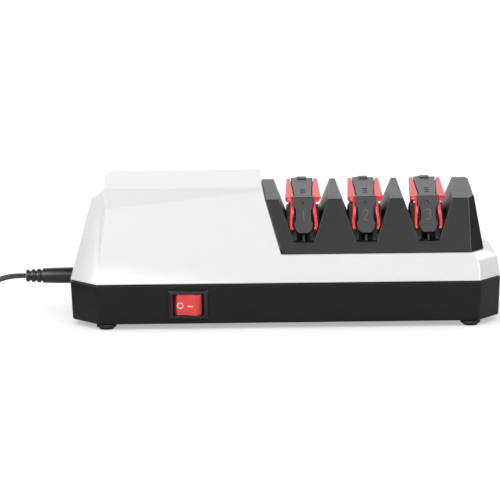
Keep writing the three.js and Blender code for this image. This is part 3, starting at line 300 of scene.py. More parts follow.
# %% Mix the housing plastics
white_cover = moulded(
    "white_cover", (0.86, 0.86, 0.86), gloss=0.34, grain=0.5 * MM, depth=0.0015 * MM, drift=0.008
)
black_base = moulded("black_base", (0.013, 0.0132, 0.0135), gloss=0.36, specular=0.17)
grey_guide = moulded("grey_guide", (0.009, 0.0092, 0.0095), gloss=0.3, specular=0.3)
clip_grey = moulded("clip_grey", (0.03, 0.0302, 0.031), gloss=0.36, specular=0.38)
inner_black = moulded("inner_black", (0.02, 0.02, 0.022), gloss=0.55)
switch_black = moulded("switch_black", (0.014, 0.014, 0.0145), gloss=0.3, depth=0.002 * MM, specular=0.4)
adapter_black = moulded("adapter_black", (0.018, 0.018, 0.0185), gloss=0.45, depth=0.01 * MM, specular=0.4)
plug_black = moulded("plug_black", (0.022, 0.0222, 0.023), gloss=0.26, depth=0.003 * MM)
print("housing plastics:", [m.name for m in (white_cover, black_base, grey_guide, clip_grey)])

# %% [markdown]
# The pressers are satin red and the rocker is a clearer, polished red that lets light through. A
# little subsurface scattering gives both the glow of dyed plastic, which a flat red never has. The
# polish is a thin clear coat.

# %% Mix the reds
def dyed_red(name, colour, gloss, glow, polish):
    material, tree, shader = begin_finish(name, gloss, specular=0.42)
    vary_tone(tree, shader, [c * 0.93 for c in colour], colour, size=5 * MM)
    add_grain(tree, shader, size=0.6 * MM, depth=0.002 * MM)
    shader.inputs["Subsurface Weight"].default_value = glow
    shader.inputs["Subsurface Radius"].default_value = (1.0, 0.15, 0.12)
    shader.inputs["Subsurface Scale"].default_value = 0.8 * MM
    shader.inputs["Coat Weight"].default_value = polish
    shader.inputs["Coat Roughness"].default_value = 0.2
    return material


presser_red = dyed_red("presser_red", (0.73, 0.02, 0.025), gloss=0.32, glow=0.1, polish=0.08)
rocker_red = dyed_red("rocker_red", (0.93, 0.075, 0.07), gloss=0.22, glow=0.2, polish=0.3)
print("dyed plastics:", [m.name for m in (presser_red, rocker_red)])

# %% [markdown]
# Rubber is matt and holds dust in its pores. The feet, the tie and the jacket of the lead share one
# recipe with different tones. The jacket is a little smoother, because it is extruded and not moulded.

# %% Mix the rubbers
def rubber(name, tone, gloss, pore, depth):
    material, tree, shader = begin_finish(name, gloss, specular=0.35)
    vary_tone(tree, shader, [tone * 0.85] * 3, [tone * 1.25] * 3, size=2.5 * MM)
    add_grain(tree, shader, pore, depth, detail=5.0)
    return material


foot_rubber = rubber("foot_rubber", tone=0.016, gloss=0.75, pore=0.25 * MM, depth=0.02 * MM)
tie_rubber = rubber("tie_rubber", tone=0.02, gloss=0.6, pore=0.3 * MM, depth=0.01 * MM)
jacket_rubber = rubber("jacket_rubber", tone=0.022, gloss=0.42, pore=0.5 * MM, depth=0.006 * MM)
print("rubbers:", [m.name for m in (foot_rubber, tie_rubber, jacket_rubber)])

# %% [markdown]
# Metals differ mainly in how they were worked. Turned steel has fine rings round its axis, drawn wire
# has lines along it, and zinc plate has soft clouds. A stretched noise gives the first two: the same
# texture, squeezed along one direction by a Mapping node.

# %% Mix the metals
def metal(name, colour, gloss, squeeze=None, lines=0.15 * MM, depth=0.004 * MM):
    material, tree, shader = begin_finish(name, gloss, metallic=1.0)
    vary_tone(tree, shader, [c * 0.9 for c in colour], colour, size=4 * MM)
    add_grain(tree, shader, lines, depth, detail=4.0, squeeze=squeeze)
    return material


turned_steel = metal("turned_steel", (0.6, 0.61, 0.62), gloss=0.28, squeeze=(1, 0.05, 0.05))
spring_steel = metal("spring_steel", (0.5, 0.51, 0.53), gloss=0.3, squeeze=(0.2, 0.2, 1))
zinc_plate = metal("zinc_plate", (0.55, 0.56, 0.55), gloss=0.4, lines=0.8 * MM)
nickel_plate = metal("nickel_plate", (0.68, 0.67, 0.64), gloss=0.18, lines=1.2 * MM, depth=0.001 * MM)
winding_copper = metal(
    "winding_copper", (0.62, 0.26, 0.12), gloss=0.35, squeeze=(0.05, 1, 1), lines=0.4 * MM
)
tinned_brass = metal("tinned_brass", (0.72, 0.66, 0.5), gloss=0.3)
metals = (turned_steel, spring_steel, zinc_plate, nickel_plate, winding_copper, tinned_brass)
print("metals:", [m.name for m in metals])

# %% [markdown]
# The wheels are abrasive grit in a grey bond. Sharp cells from a Voronoi texture stand for the
# grains: each cell has its own tone and height, which noise alone would blur together.

# %% Mix the grit
BOND_DARK = (0.03, 0.03, 0.031, 1)
GRAIN_LIGHT = (0.2, 0.2, 0.205, 1)


def abrasive(name, grain=0.35 * MM, relief=0.08 * MM):
    material, tree, shader = begin_finish(name, roughness=0.8, specular=0.4)
    where = tree.nodes.new("ShaderNodeTexCoord")
    cells = tree.nodes.new("ShaderNodeTexVoronoi")
    cells.inputs["Scale"].default_value = 1.0 / grain
    ramp = tree.nodes.new("ShaderNodeValToRGB")
    ramp.color_ramp.elements[0].color = BOND_DARK
    ramp.color_ramp.elements[1].color = GRAIN_LIGHT
    tree.links.new(where.outputs["Object"], cells.inputs["Vector"])
    tree.links.new(cells.outputs["Color"], ramp.inputs["Fac"])
    tree.links.new(ramp.outputs["Color"], shader.inputs["Base Color"])
    add_relief(tree, shader, cells.outputs["Distance"], relief)
    return material


wheel_grit = abrasive("wheel_grit")
print("materials so far:", len(bpy.data.materials))

# %% [markdown]
# A moulded or stamped edge catches light as a thin bright line. The CAD solids have sharp edges, so the
# small rigid pieces that keep their solid get a Bevel modifier. A Weld and a planar Decimate come
# before it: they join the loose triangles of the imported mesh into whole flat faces, because a bevel
# needs real edges between faces. The vertices of the CAD mesh itself stay as they were.

# %% Give a CAD piece its finish and small soft edges
WELD_DISTANCE = 1e-6
FLAT_DEGREES = 0.6
SHARP_DEGREES = 28.0


def coat(piece, material):
    if piece.material_slots:
        for slot in piece.material_slots:
            slot.material = material
    else:
        piece.data.materials.append(material)
    return piece


def soften(piece, width, segments):
    piece.data.polygons.foreach_set("use_smooth", [True] * len(piece.data.polygons))
    weld = piece.modifiers.new("weld", "WELD")
    weld.merge_threshold = WELD_DISTANCE
    flat = piece.modifiers.new("flat_faces", "DECIMATE")
    flat.decimate_type = "DISSOLVE"
    flat.angle_limit = math.radians(FLAT_DEGREES)
    bevel = piece.modifiers.new("edges", "BEVEL")
    bevel.width = width
    bevel.segments = segments
    bevel.limit_method = "ANGLE"
    bevel.angle_limit = math.radians(SHARP_DEGREES)
    bevel.miter_outer = "MITER_ARC"
    bevel.harden_normals = True


def dress(node, material, edge=0.0, segments=3):
    piece = coat(cad_nodes[node], material)
    if edge > 0:
        soften(piece, edge, segments)


# %% [markdown]
# A piece that is made here stands for the CAD node of the same place. It rides on the same body, takes the
# material it is given, and hides the plain solid.

# %% Put a new piece in a node's place
node_bodies = {n: b for b, ns in frame["record"]["behaviour"]["bodies"].items() for n in ns}
print("bodies:", sorted(set(node_bodies.values())))


def stands_for(piece, material, *names):
    coat(piece, material)
    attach(piece, node_bodies[names[0]])
    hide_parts(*names)
    return piece


def adds_to(piece, material, node):
    """A small extra piece, such as a printed mark, that a node carries."""
    coat(piece, material)
    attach(piece, node_bodies[node])


def middle_of(node):
    low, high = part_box(node)
    return (low + high) / 2


# %% [markdown]
# The Bevel modifier limits every edge by the shortest one on the mesh, so on the cover, the base and
# the guide housing, which have tiny edges inside, it rounds almost nothing. These three, the clips and
# the pressers get a copy instead. Only edges with room beside them are rounded, by a wide radius, and
# the rest stay sharp. Weighted normals then keep the large faces flat, so each rounded edge reads as
# one thin line of light.

# %% Prepare a shape for rounding
ROOM_BESIDE_EDGE = 2.0
NO_CREASE_NEAR = 1.0
EVERY_FACE = 1.1


def trim(shape, spot, outward):
    """Cut the shape by a plane and close it again."""
    parts = [*shape.verts, *shape.edges, *shape.faces]
    cut = bmesh.ops.bisect_plane(shape, geom=parts, plane_co=spot, plane_no=outward, clear_outer=True)
    rim = [part for part in cut["geom_cut"] if isinstance(part, bmesh.types.BMEdge)]
    bmesh.ops.edgeloop_fill(shape, edges=rim)


def join_flat_faces(shape, flat, flattest):
    """Join faces of one plane, unless the upright part of their normals is past the flattest."""
    joins = {f: abs(f.normal.z) < flattest for f in shape.faces}
    bmesh.ops.dissolve_limit(
        shape,
        angle_limit=math.radians(flat),
        verts=[v for v in shape.verts if all(joins[f] for f in v.link_faces)],
        edges=[e for e in shape.edges if all(joins[f] for f in e.link_faces)],
    )


def edges_to_round(shape, width, sharp, flat):
    """The sharp edges with room on both ends; a sharp edge without room keeps its hard shading."""
    shape.verts.index_update()
    creases = {e for e in shape.edges if e.calc_face_angle(0) >= math.radians(flat)}
    room = {}
    for vert in shape.verts:
        lengths = [e.calc_length() for e in vert.link_edges if e in creases]
        room[vert.index] = min(lengths, default=NO_CREASE_NEAR)
    chosen = []
    for edge in shape.edges:
        is_sharp = len(edge.link_faces) == 2 and edge.calc_face_angle() > math.radians(sharp)
        has_room = min(room[v.index] for v in edge.verts) > ROOM_BESIDE_EDGE * width
        if is_sharp and has_room:
            chosen.append(edge)
        edge.smooth = has_room or not is_sharp
    return chosen


# %% Copy a piece with rounded edges
skins = {}


def round_copy(
    node,
    material,
    width,
    sharp=SHARP_DEGREES,
    flat=FLAT_DEGREES,
    tiny=0.02 * MM,
    flattest=EVERY_FACE,
    cuts=(),
    reshape=None,
):
    """A piece in a node's place whose longer edges are rounded; cuts are (spot, outward) planes."""
    shape = bmesh.new()
    shape.from_mesh(cad_nodes[node].data)
    shape.transform(cad_nodes[node].matrix_world)
    bmesh.ops.remove_doubles(shape, verts=shape.verts, dist=WELD_DISTANCE)
    bmesh.ops.dissolve_degenerate(shape, edges=shape.edges, dist=tiny)
    for spot, outward in cuts:
        trim(shape, spot, outward)
    if reshape:
        reshape(shape)
    if flat > 0:
        join_flat_faces(shape, flat, flattest)
    bmesh.ops.bevel(
        shape,
        geom=edges_to_round(shape, width, sharp, flat),
        offset=width,
        offset_type="OFFSET",
        segments=3,
        profile=0.5,
        affect="EDGES",
        clamp_overlap=False,
        miter_outer="ARC",
    )
    mesh = bpy.data.meshes.new(f"{node}_skin")
    shape.to_mesh(mesh)
    shape.free()
    mesh.polygons.foreach_set("use_smooth", [True] * len(mesh.polygons))
    piece = bpy.data.objects.new(f"{node}_skin", mesh)
    scene.collection.objects.link(piece)
    weighted = piece.modifiers.new("flat_faces", "WEIGHTED_NORMAL")
    weighted.keep_sharp = True
    weighted.weight = 100
    skins[node] = stands_for(piece, material, node)


# %% [markdown]
# The cover keeps every face of its solid, because its facets meet at small angles and must not be
# joined. The base joins only its upright faces: its level rim is a ring, and a ring joined to one face
# would be filled across. The guide housing's lower left corner is cut back a little, as in the
# photograph.

# %% Dress the housing
housing_edges = {"top_cover": 0.8 * MM, "guide_housing": 0.32 * MM, "base_tub": 0.9 * MM}
sliver = 0.15 * MM
corner_x = -2.0 * MM
corner_depth = 1.5 * MM
corner_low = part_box("guide_housing")[0].z
corner_cut = (Vector((corner_x + corner_depth, 0, corner_low)), Vector((-1, 0, -0.8)).normalized())
round_copy("top_cover", white_cover, housing_edges["top_cover"], sharp=12.0, flat=0.0, tiny=sliver)
round_copy("guide_housing", grey_guide, housing_edges["guide_housing"], cuts=[corner_cut])
round_copy("base_tub", black_base, housing_edges["base_tub"], tiny=sliver, flattest=0.9)
print("housing edges in mm:", {k: round(v / MM, 2) for k, v in housing_edges.items()})

# %% [markdown]
# The lead is one cord from the plug to the wall adapter: a free stretch that drops to the table, the
# spare length wound in a coil of four layers, and a short tail. The photograph sees only its first
# stretch; the coil lies outside the view.

# %% Lay out the lead's route
plug_low, plug_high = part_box("dc_plug")
lead_y = 0.019
front_shift = (plug_low.y + plug_high.y) / 2 - lead_y
cord_width = 0.003
coil_x = -0.186
coil_layers = 4
layer_turns = 2.5625
turn_pitch = 0.0036
layer_pitch = 0.0035
coil_inner = 0.0124
coil_outer = coil_inner + layer_turns * turn_pitch
coil_y = lead_y - coil_outer
coil_foot = 0.00295
coil_head = coil_foot + (coil_layers - 1) * layer_pitch
climb_turns = 0.5
loop_steps = 48
lead_route = [
    (-0.14185, lead_y, 0.0192),
    (-0.145, lead_y, 0.0192),
    (-0.1485, lead_y, 0.019),
    (-0.1523, lead_y, 0.0184),
    (-0.156, lead_y, 0.0173),
    (-0.16, lead_y, 0.015),
    (-0.1635, lead_y, 0.012),
    (-0.167, lead_y, 0.0088),
    (-0.1705, lead_y, 0.0059),
    (-0.174, lead_y, 0.0039),
    (-0.1775, lead_y, 0.0031),
    (-0.18, lead_y, 0.00295),
    (-0.1827, lead_y, 0.00295),
]
tail_x = coil_x - coil_outer
tail_route = [
    (tail_x, coil_y - 0.0033, coil_head),
    (tail_x, -0.0089, coil_head),
    (tail_x, -0.0115, 0.0132),
    (tail_x, -0.014, 0.013),
    (tail_x, -0.0165, 0.0132),
    (tail_x, -0.0187, 0.0135),
    (tail_x, -0.0217, 0.0135),
]


# %% Wind the coil
def coil_point(turn):
    """A layer winds inwards, the next outwards; each climb to the next layer takes half a turn."""
    swing = abs((turn / layer_turns) % 2 - 1)
    radius = coil_inner + swing * layer_turns * turn_pitch
    climb = 0.0
    for layer in range(1, coil_layers):
        climb += min(max((turn - layer * layer_turns) / climb_turns + 0.5, 0.0), 1.0)
    angle = math.pi / 2 + math.tau * turn
    flat = Vector((radius * math.cos(angle), radius * math.sin(angle), 0))
    return flat + Vector((coil_x, coil_y, coil_foot + climb * layer_pitch))


coil_count = round(coil_layers * layer_turns * loop_steps)
coil_path = [coil_point(i / loop_steps) for i in range(coil_count + 1)]
print("coil:", coil_layers, "layers of", layer_turns, "turns")


# %% Join the stretches into one smooth path
def smooth_route(points, steps=6):
    """Catmull-Rom curve through given points."""
    ends = [2 * points[0] - points[1], *points, 2 * points[-1] - points[-2]]
    path = []
    for i in range(1, len(ends) - 2):
        a, b, c, d = ends[i - 1 : i + 3]
        for step in range(steps):
            t = step / steps
            square = 2 * a - 5 * b + 4 * c - d
            cube = 3 * b - a - 3 * c + d
            path.append(0.5 * (2 * b + (c - a) * t + square * t**2 + cube * t**3))
    return [*path, points[-1]]


first_stretch = smooth_route([Vector(p) for p in lead_route])
last_stretch = smooth_route([Vector(p) for p in tail_route])
cord_path = [p + Vector((0, front_shift, 0)) for p in [*first_stretch, *coil_path, *last_stretch]]

# %% [markdown]
# It is a flat twin cord, two cores side by side with a groove between them, so it is a swept mesh and
# not a round curve bevel. At the plug the section is turned, so that the camera sees both cores. Over
# the first few centimetres it untwists, and from there on it lies with one core above the other.

# %% Draw the twin section
def twin_section(width, steps=10):
    """Two cores above each other, their outlines meeting in a shallow groove."""
    lobe = 0.27 * width
    centre = width / 2 - lobe
    half_angle = math.radians(138)
    section = []
    for side in (1, -1):
        for k in range(steps + 1):
            angle = -half_angle + 2 * half_angle * k / steps
            section.append((side * lobe * math.sin(angle), side * (centre + lobe * math.cos(angle))))
    return section


# %% Sweep the twin cord
twist_start = math.radians(52)
twist_reach = 0.036
twist = []
travelled = 0.0
for before, place in zip([cord_path[0], *cord_path], cord_path):
    travelled += (place - before).length
    twist.append(twist_start * max(1 - travelled / twist_reach, 0))
cord = add_piece("twin_lead", *sweep_mesh(cord_path, twin_section(cord_width), twist))
stands_for(cord, jacket_rubber, "cord_lead", "cord_coil", "cord_tail")
print("lead's faces:", len(cord.data.polygons))

# %% [markdown]
# The plug is a soft overmould: a nearly straight barrel, then three ribs of a strain relief that taper
# to the cord, with shallow grooves between them. It is turned from one profile, together with the bore
# that takes the metal sleeve and ends a hair beyond it.

# %% Turn the plug
plug_radius = 0.0044
plug_rear = 0.00405
plug_body = 0.0173
rib_pitch = 0.00305
rib_slot = 0.001
rib_count = 3
rib_end = 0.0033
groove_depth = 0.00065
barrel_taper = 0.985
sleeve_seat = 0.00305
sleeve_gap = 0.0003
plug_face_x = plug_high.x
plug_front = plug_face_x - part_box("dc_plug_barrel")[0].x


def plug_profile():
    seat_end = plug_front + sleeve_gap
    profile = [(0, seat_end), (sleeve_seat, seat_end), (sleeve_seat, 0), (plug_radius, 0)]
    profile += [(plug_radius * barrel_taper, plug_body * 0.5), (plug_rear, plug_body)]
    for rib in range(rib_count):
        start = plug_body + rib * rib_pitch
        radius = plug_rear + (rib_end - plug_rear) * (rib + 1) / rib_count
        profile += [(radius - groove_depth, start), (radius - groove_depth, start + rib_slot)]
        profile += [(radius, start + rib_slot), (radius, start + rib_pitch)]
    return [*profile, (0, plug_body + rib_count * rib_pitch)]


plug_axis_at = Vector((plug_face_x, lead_y + front_shift, (plug_low.z + plug_high.z) / 2))
plug = turned_piece("dc_plug_overmould", plug_profile(), plug_axis_at, (-1, 0, 0), corner=0.0006)
stands_for(plug, plug_black, "dc_plug")
print("plug's faces:", len(plug.data.polygons))

# %% [markdown]
# The wall adapter's CAD solid has the right shape, so we keep it, with a larger soft edge than the
# housing has. The prongs and the plug's barrel are bright nickel.

# %% Dress the adapter, the tie and the socket
dress("adapter_body", adapter_black, 1.2 * MM)
dress("adapter_prong_1", nickel_plate, 0.35 * MM)
dress("adapter_prong_2", nickel_plate, 0.35 * MM)
dress("coil_tie", tie_rubber, 0.3 * MM)
dress("dc_socket", switch_black, 0.2 * MM)
dress("dc_plug_barrel", nickel_plate)
print("adapter's middle in mm:", [round(v / MM, 1) for v in middle_of("adapter_body")])

# %% [markdown]
# The feet are moulded rubber: a smaller pad on the table, a collar against the base, and a stem that
# sits in the base. The screws sit deep in their bores under the base, and each has a cross recess cut
# by a Boolean modifier, which is the quickest way to sink one shape into another and is applied at once.

# %% Turn the feet
foot_pad = 0.0039
foot_pad_height = 0.0012
foot_stem = 0.0026
foot_stem_height = 0.0016


def make_foot(node):
    low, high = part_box(node)
    centre = Vector(((low.x + high.x) / 2, (low.y + high.y) / 2, low.z))
    collar = (high.x - low.x) / 2
    height = high.z - low.z
    collar_top = height - foot_stem_height
    profile = [(0, 0), (foot_pad, 0), (foot_pad, foot_pad_height), (collar, foot_pad_height)]
    profile += [(collar, collar_top), (foot_stem, collar_top), (foot_stem, height), (0, height)]
    foot = turned_piece(f"{node}_rubber", profile, centre, (0, 0, 1), sides=48, corner=0.45 * MM)
    return stands_for(foot, foot_rubber, node)


feet = [make_foot(f"foot_{i}") for i in range(1, 5)]
print("feet:", len(feet))


# %% Cut one mesh by another
def carve(piece, *cutters):
    for cutter in cutters:
        difference = piece.modifiers.new("recess", "BOOLEAN")
        difference.operation = "DIFFERENCE"
        difference.solver = "EXACT"
        difference.object = cutter
    bpy.context.view_layer.update()
    shape = bpy.data.meshes.new_from_object(piece.evaluated_get(bpy.context.evaluated_depsgraph_get()))
    piece.modifiers.clear()
    piece.data = shape
    for cutter in cutters:
        bpy.data.objects.remove(cutter)
    shape.set_sharp_from_angle(angle=CREASE_ANGLE)
    return piece


def block_piece(name, low, high):
    xs, ys, zs = zip(low, high)
    vertices = [(x, y, z) for x in xs for y in ys for z in zs]
    faces = [(0, 1, 3, 2), (4, 6, 7, 5), (0, 4, 5, 1), (2, 3, 7, 6), (0, 2, 6, 4), (1, 5, 7, 3)]
    return add_piece(name, vertices, faces, smooth=False)


# %% Make the screws
shank = 0.0016
head_height = 0.0018
head_crown = 0.0001
point_length = 0.001
recess_half_width = 0.00045
recess_depth = 0.0011
recess_reach = 0.62


def make_screw(node, head_up):
    """A pan-head screw with a cross recess; its head is at the top of its box, or at the bottom."""
    low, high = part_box(node)
    head = (high.x - low.x) / 2
    length = high.z - low.z
    way = Vector((0, 0, -1 if head_up else 1))
    start = Vector(((low.x + high.x) / 2, (low.y + high.y) / 2, high.z if head_up else low.z))
    profile = [(0, 0), (head * 0.75, head_crown), (head, head_height * 0.5), (head, head_height)]
    profile += [(shank, head_height), (shank, length - point_length), (shank * 0.5, length), (0, length)]
    screw = turned_piece(f"{node}_steel", profile, start, way, sides=40, corner=0.25 * MM)
    reach = head * recess_reach
    depth = recess_depth * way.z
    cutters = []
    for x, y in ((reach, recess_half_width), (recess_half_width, reach)):
        corners = (start + Vector((-x, -y, -depth)), start + Vector((x, y, depth)))
        bottom = Vector(map(min, *corners))
        top = Vector(map(max, *corners))
        cutters.append(block_piece("recess_tool", bottom, top))
    return stands_for(carve(screw, *cutters), zinc_plate, node)


screws = [make_screw(f"housing_screw_{i}", False) for i in range(1, 5)]
screws += [make_screw(f"motor_band_screw_{i}", True) for i in range(1, 3)]
print("screws:", len(screws))

# %% [markdown]
# Each stage has two dished wheels of abrasive. They are turned again with many more sides than the
# CAD solids have, from the sizes of those solids, so their rims look round between the pressers.

# %% Turn the abrasive wheels
wheel_radius = 0.024
dish_radius = 0.012
hub_radius = 0.008
wheel_bore = 0.0043
rim_width = 0.005
wheel_web = 0.0028
notch_lean = 0.36


def make_wheel(stage, side, way):
    node = f"stage_{stage}_{side}_wheel"
    low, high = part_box(node)
    width = high.x - low.x
    middle = (low + high) / 2
    inner_x = low.x if way > 0 else high.x
    dish = width - notch_lean * (wheel_radius - dish_radius)
    profile = [(wheel_bore, 0), (hub_radius, 0), (hub_radius, dish - wheel_web)]
    profile += [(dish_radius, dish - wheel_web), (wheel_radius, width - rim_width), (wheel_radius, width)]
    profile += [(dish_radius, dish), (hub_radius, dish), (hub_radius, width), (wheel_bore, width)]
    start = Vector((inner_x, middle.y, middle.z))
    wheel = turned_piece(f"{node}_grit", profile, start, (way, 0, 0), sides=96, corner=0.3 * MM)
    return stands_for(wheel, wheel_grit, node)


wheels = [make_wheel(s, side, way) for s in (1, 2, 3) for side, way in (("left", -1), ("right", 1))]
print("wheels:", len(wheels))

# %% [markdown]
# The torsion springs wind round the pins under the clips. A spring that lies on its side runs straight
# up at two places of each turn, where the sweep builder loses its sense of up. So the wire has its own
# frame, which is carried along the path from one point to the next.

# %% Sweep a wire with a carried frame
def carried_tube(path, radius, sides):
    """Round tube whose section is carried along the path without twist."""
    vertices = []
    side = None
    for i, place in enumerate(path):
        along = (path[min(i + 1, len(path) - 1)] - path[max(i - 1, 0)]).normalized()
        side = along.orthogonal() if side is None else side - along * side.dot(along)
        side.normalize()
        over = along.cross(side)
        for k in range(sides):
            angle = math.tau * k / sides
            vertices.append(place + (side * math.cos(angle) + over * math.sin(angle)) * radius)
    return vertices, tube_faces(len(path), sides)


# %% Wind the presser springs
spring_wire = 0.00035
spring_turns = 3
spring_pitch = 0.00125
spring_tang = 0.0044
pin_radius = 0.0012
pin_play = 0.0003
spring_radius = pin_radius + pin_play + spring_wire


def make_spring(stage):
    node = f"stage_{stage}_presser_spring"
    centre = middle_of(f"stage_{stage}_presser_pin")
    half = spring_turns * spring_pitch / 2
    path = [centre + Vector((-spring_tang, -half, -spring_radius))]
    steps = 24
    for i in range(spring_turns * steps + 1):
        turn = i / steps
        angle = math.tau * turn - math.pi / 2
        across = Vector((math.cos(angle), 0, math.sin(angle))) * spring_radius
        path.append(centre + across + Vector((0, turn * spring_pitch - half, 0)))
    path.append(centre + Vector((spring_tang, half, -spring_radius)))
    spring = add_piece(f"{node}_wire", *carried_tube(path, spring_wire, 10))
    return stands_for(spring, spring_steel, node)


springs = [make_spring(s) for s in (1, 2, 3)]
print("springs:", len(springs))

# %% [markdown]
# The clips and pressers are copies with rounded edges, which give them the thin highlights of the
# photograph. The CAD solids already have the waisted legs and the tapering arms. The pressers' rails
# are trimmed besides: a slanting cut narrows them towards the back, and their lower corner in front is
# drawn in to a point.

# %% Point a rail
rail_front_half = 10.0 * MM
rail_back_half = 7.9 * MM
rail_corner_half = 9.0 * MM
rail_point_half = 7.9 * MM
rail_front_y = -17.0 * MM


def point_rail(shape, stage_x, way):
    """Draw the lower outer corner at a rail's front end inwards, so that the end runs out in a point."""
    for vert in shape.verts:
        out = way * (vert.co.x - stage_x)
        if out > rail_corner_half and vert.co.y < rail_front_y:
            vert.co.x = stage_x + way * rail_point_half


# %% Dress the stages
stage_sliver = 0.1 * MM
for stage in (1, 2, 3):
    round_copy(f"stage_{stage}_guide_clip", clip_grey, 0.3 * MM, tiny=stage_sliver)
    stage_x = middle_of(f"stage_{stage}_guide_clip").x
    for side, way in (("left", -1), ("right", 1)):
        node = f"stage_{stage}_{side}_presser"
        rail_low, rail_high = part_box(node)
        front = Vector((stage_x + way * rail_front_half, rail_low.y, 0))
        outward = Vector((way * (rail_high.y - rail_low.y), rail_front_half - rail_back_half, 0))
        cut = (front, outward.normalized())
        end_form = partial(point_rail, stage_x=stage_x, way=way)
        round_copy(node, presser_red, 0.6 * MM, tiny=stage_sliver, cuts=[cut], reshape=end_form)
    dress(f"stage_{stage}_presser_pin", spring_steel, 0.2 * MM)
print("rounded copies:", list(skins))

# %% Dress the switch
dress("switch_housing", switch_black, 0.25 * MM)
dress("rocker_cap", rocker_red, 0.35 * MM, segments=4)
dress("switch_terminal_1", tinned_brass, 0.1 * MM)
dress("switch_terminal_2", tinned_brass, 0.1 * MM)
print("rocker's middle in mm:", [round(v / MM, 1) for v in middle_of("rocker_cap")])

# %% Dress the drive
drive_finishes = {
    "spindle_shaft": turned_steel,
    "left_bearing": turned_steel,
    "right_bearing": turned_steel,
    "shaft_coupling": inner_black,
    "motor_end_cap": inner_black,
    "left_bearing_block": inner_black,
    "right_bearing_block": inner_black,
    "motor_can": zinc_plate,
    "motor_band": zinc_plate,
    "motor_rotor": winding_copper,
}
for node, material in drive_finishes.items():
    dress(node, material, 0.2 * MM)
print("drive pieces:", len(drive_finishes))

# %% [markdown]
# The marks are laid on the surface that carries them. Rays from the front or from above find the face of
# the rocker, of a clip's leg or of its strap, and each stroke follows it, proud by a hair. A texture could
# print them too, but a mesh stays sharp at any size.

# %% Mix the inks and the numerals' painted highlight
mark_white = moulded("mark_white", (0.8, 0.72, 0.72), gloss=0.4, depth=0.001 * MM)
mark_dark = moulded("mark_dark", (0.008, 0.008, 0.008), gloss=0.8, depth=0.001 * MM, specular=0.05)
# The numerals are raised strokes of the clip's own plastic; their lighter grey is a painted highlight of
# light catching those strokes.
numeral_painted_highlight = moulded("numeral_painted_highlight", (0.1, 0.1, 0.102), gloss=0.4)
print("inks:", [m.name for m in (mark_white, mark_dark, numeral_painted_highlight)])

# %% Lay a stroke on a piece
STROKE_SUNK = 0.2 * MM
RAY_START = 0.2


def surface_of(node):
    shape = bpy.context.evaluated_depsgraph_get()
    return BVHTree.FromObject(skins.get(node, cad_nodes[node]), shape)


def lay_on(surface, across, along, lift, from_above):
    """The point of the surface behind or below a spot, lifted along the surface's own normal."""
    start = Vector((across, along, RAY_START)) if from_above else Vector((across, -RAY_START, along))
    way = Vector((0, 0, -1)) if from_above else Vector((0, 1, 0))
    spot, normal, _, _ = surface.ray_cast(start, way)
    return spot + normal * lift


def stroke_piece(name, node, path, width, proud, closed=False, from_above=False):
    """A thin closed body that follows a flat path of (across, along) points on a node's surface."""
    surface = surface_of(node)
    count = len(path)
    vertices = []
    for i, here in enumerate(path):
        before = path[i - 1] if closed or i > 0 else here
        after = path[(i + 1) % count] if closed or i < count - 1 else here
        way = (Vector(after) - Vector(before)).normalized()
        left = Vector((-way.y, way.x)) * width / 2
        for side, lift in ((1, proud), (-1, proud), (-1, -STROKE_SUNK), (1, -STROKE_SUNK)):
            spot = Vector(here) + left * side
            vertices.append(lay_on(surface, spot.x, spot.y, lift, from_above))
    faces = []
    for row in range(count if closed else count - 1):
        low = 4 * row
        high = 4 * ((row + 1) % count)
        for k in range(4):
            after = (k + 1) % 4
            faces.append((low + k, low + after, high + after, high + k))
    if not closed:
        faces.append((3, 2, 1, 0))
        faces.append(tuple(range(4 * count - 4, 4 * count)))
    return add_piece(name, vertices, faces, smooth=False)


def arc(x, z, radius, start, stop, count=14):
    """Points of an arc in degrees, anticlockwise from +X."""
    turns = [math.radians(start + (stop - start) * k / count) for k in range(count + 1)]
    return [(x + radius * math.cos(t), z + radius * math.sin(t)) for t in turns]


# %% Mark the rocker
rocker_middle = middle_of("rocker_cap")
ring_spot = (-56.1 * MM, rocker_middle.z - 0.6 * MM)
dash_spot = (-50.8 * MM, rocker_middle.z - 0.9 * MM)
ring_radius = 1.45 * MM
dash_half = 1.35 * MM
rocker_stroke = 0.62 * MM

ring_path = arc(*ring_spot, ring_radius, 0, 360, 40)[:-1]
dash_path = [(dash_spot[0] - dash_half, dash_spot[1]), (dash_spot[0] + dash_half, dash_spot[1])]
for name, path, closed in (("off", ring_path, True), ("on", dash_path, False)):
    mark = stroke_piece(f"rocker_mark_{name}", "rocker_cap", path, rocker_stroke, 0.06 * MM, closed)
    adds_to(mark, mark_white, "rocker_cap")
print("ring's middle in mm:", [round(v / MM, 1) for v in ring_spot])

# %% Draw the stage numerals and ticks
NUMERAL_HALF = 1.25
numeral_paths = {
    1: [(-0.7, 1.7), (0.2, 2.6), (0.2, -2.6)],
    2: arc(0, 1.3, NUMERAL_HALF, 170, -30) + [(-NUMERAL_HALF, -2.5), (NUMERAL_HALF + 0.1, -2.5)],
    3: arc(0, 1.3, NUMERAL_HALF, 150, -70) + arc(0, -1.25, NUMERAL_HALF, 70, -150),
}
numeral_rise = 57.6 * MM
numeral_stroke = 0.55 * MM
numeral_proud = 0.15 * MM
tick_stroke = 1.2 * MM
tick_proud = 0.03 * MM
tick_half = 1.3 * MM
tick_places = [-9.5 * MM, -6.5 * MM, -3.5 * MM]
for stage, shape in numeral_paths.items():
    clip = f"stage_{stage}_guide_clip"
    x = middle_of(clip).x
    path = [(x + u * MM, numeral_rise + v * MM) for u, v in shape]
    numeral = stroke_piece(f"stage_{stage}_numeral", clip, path, numeral_stroke, numeral_proud)
    # The numeral's lighter grey paints the highlight on its raised strokes.
    adds_to(numeral, numeral_painted_highlight, clip)
    for number, y in enumerate(tick_places, 1):
        ends = [(x - tick_half, y), (x + tick_half, y)]
        name = f"stage_{stage}_tick_{number}"
        tick = stroke_piece(name, clip, ends, tick_stroke, tick_proud, from_above=True)
        adds_to(tick, mark_dark, clip)
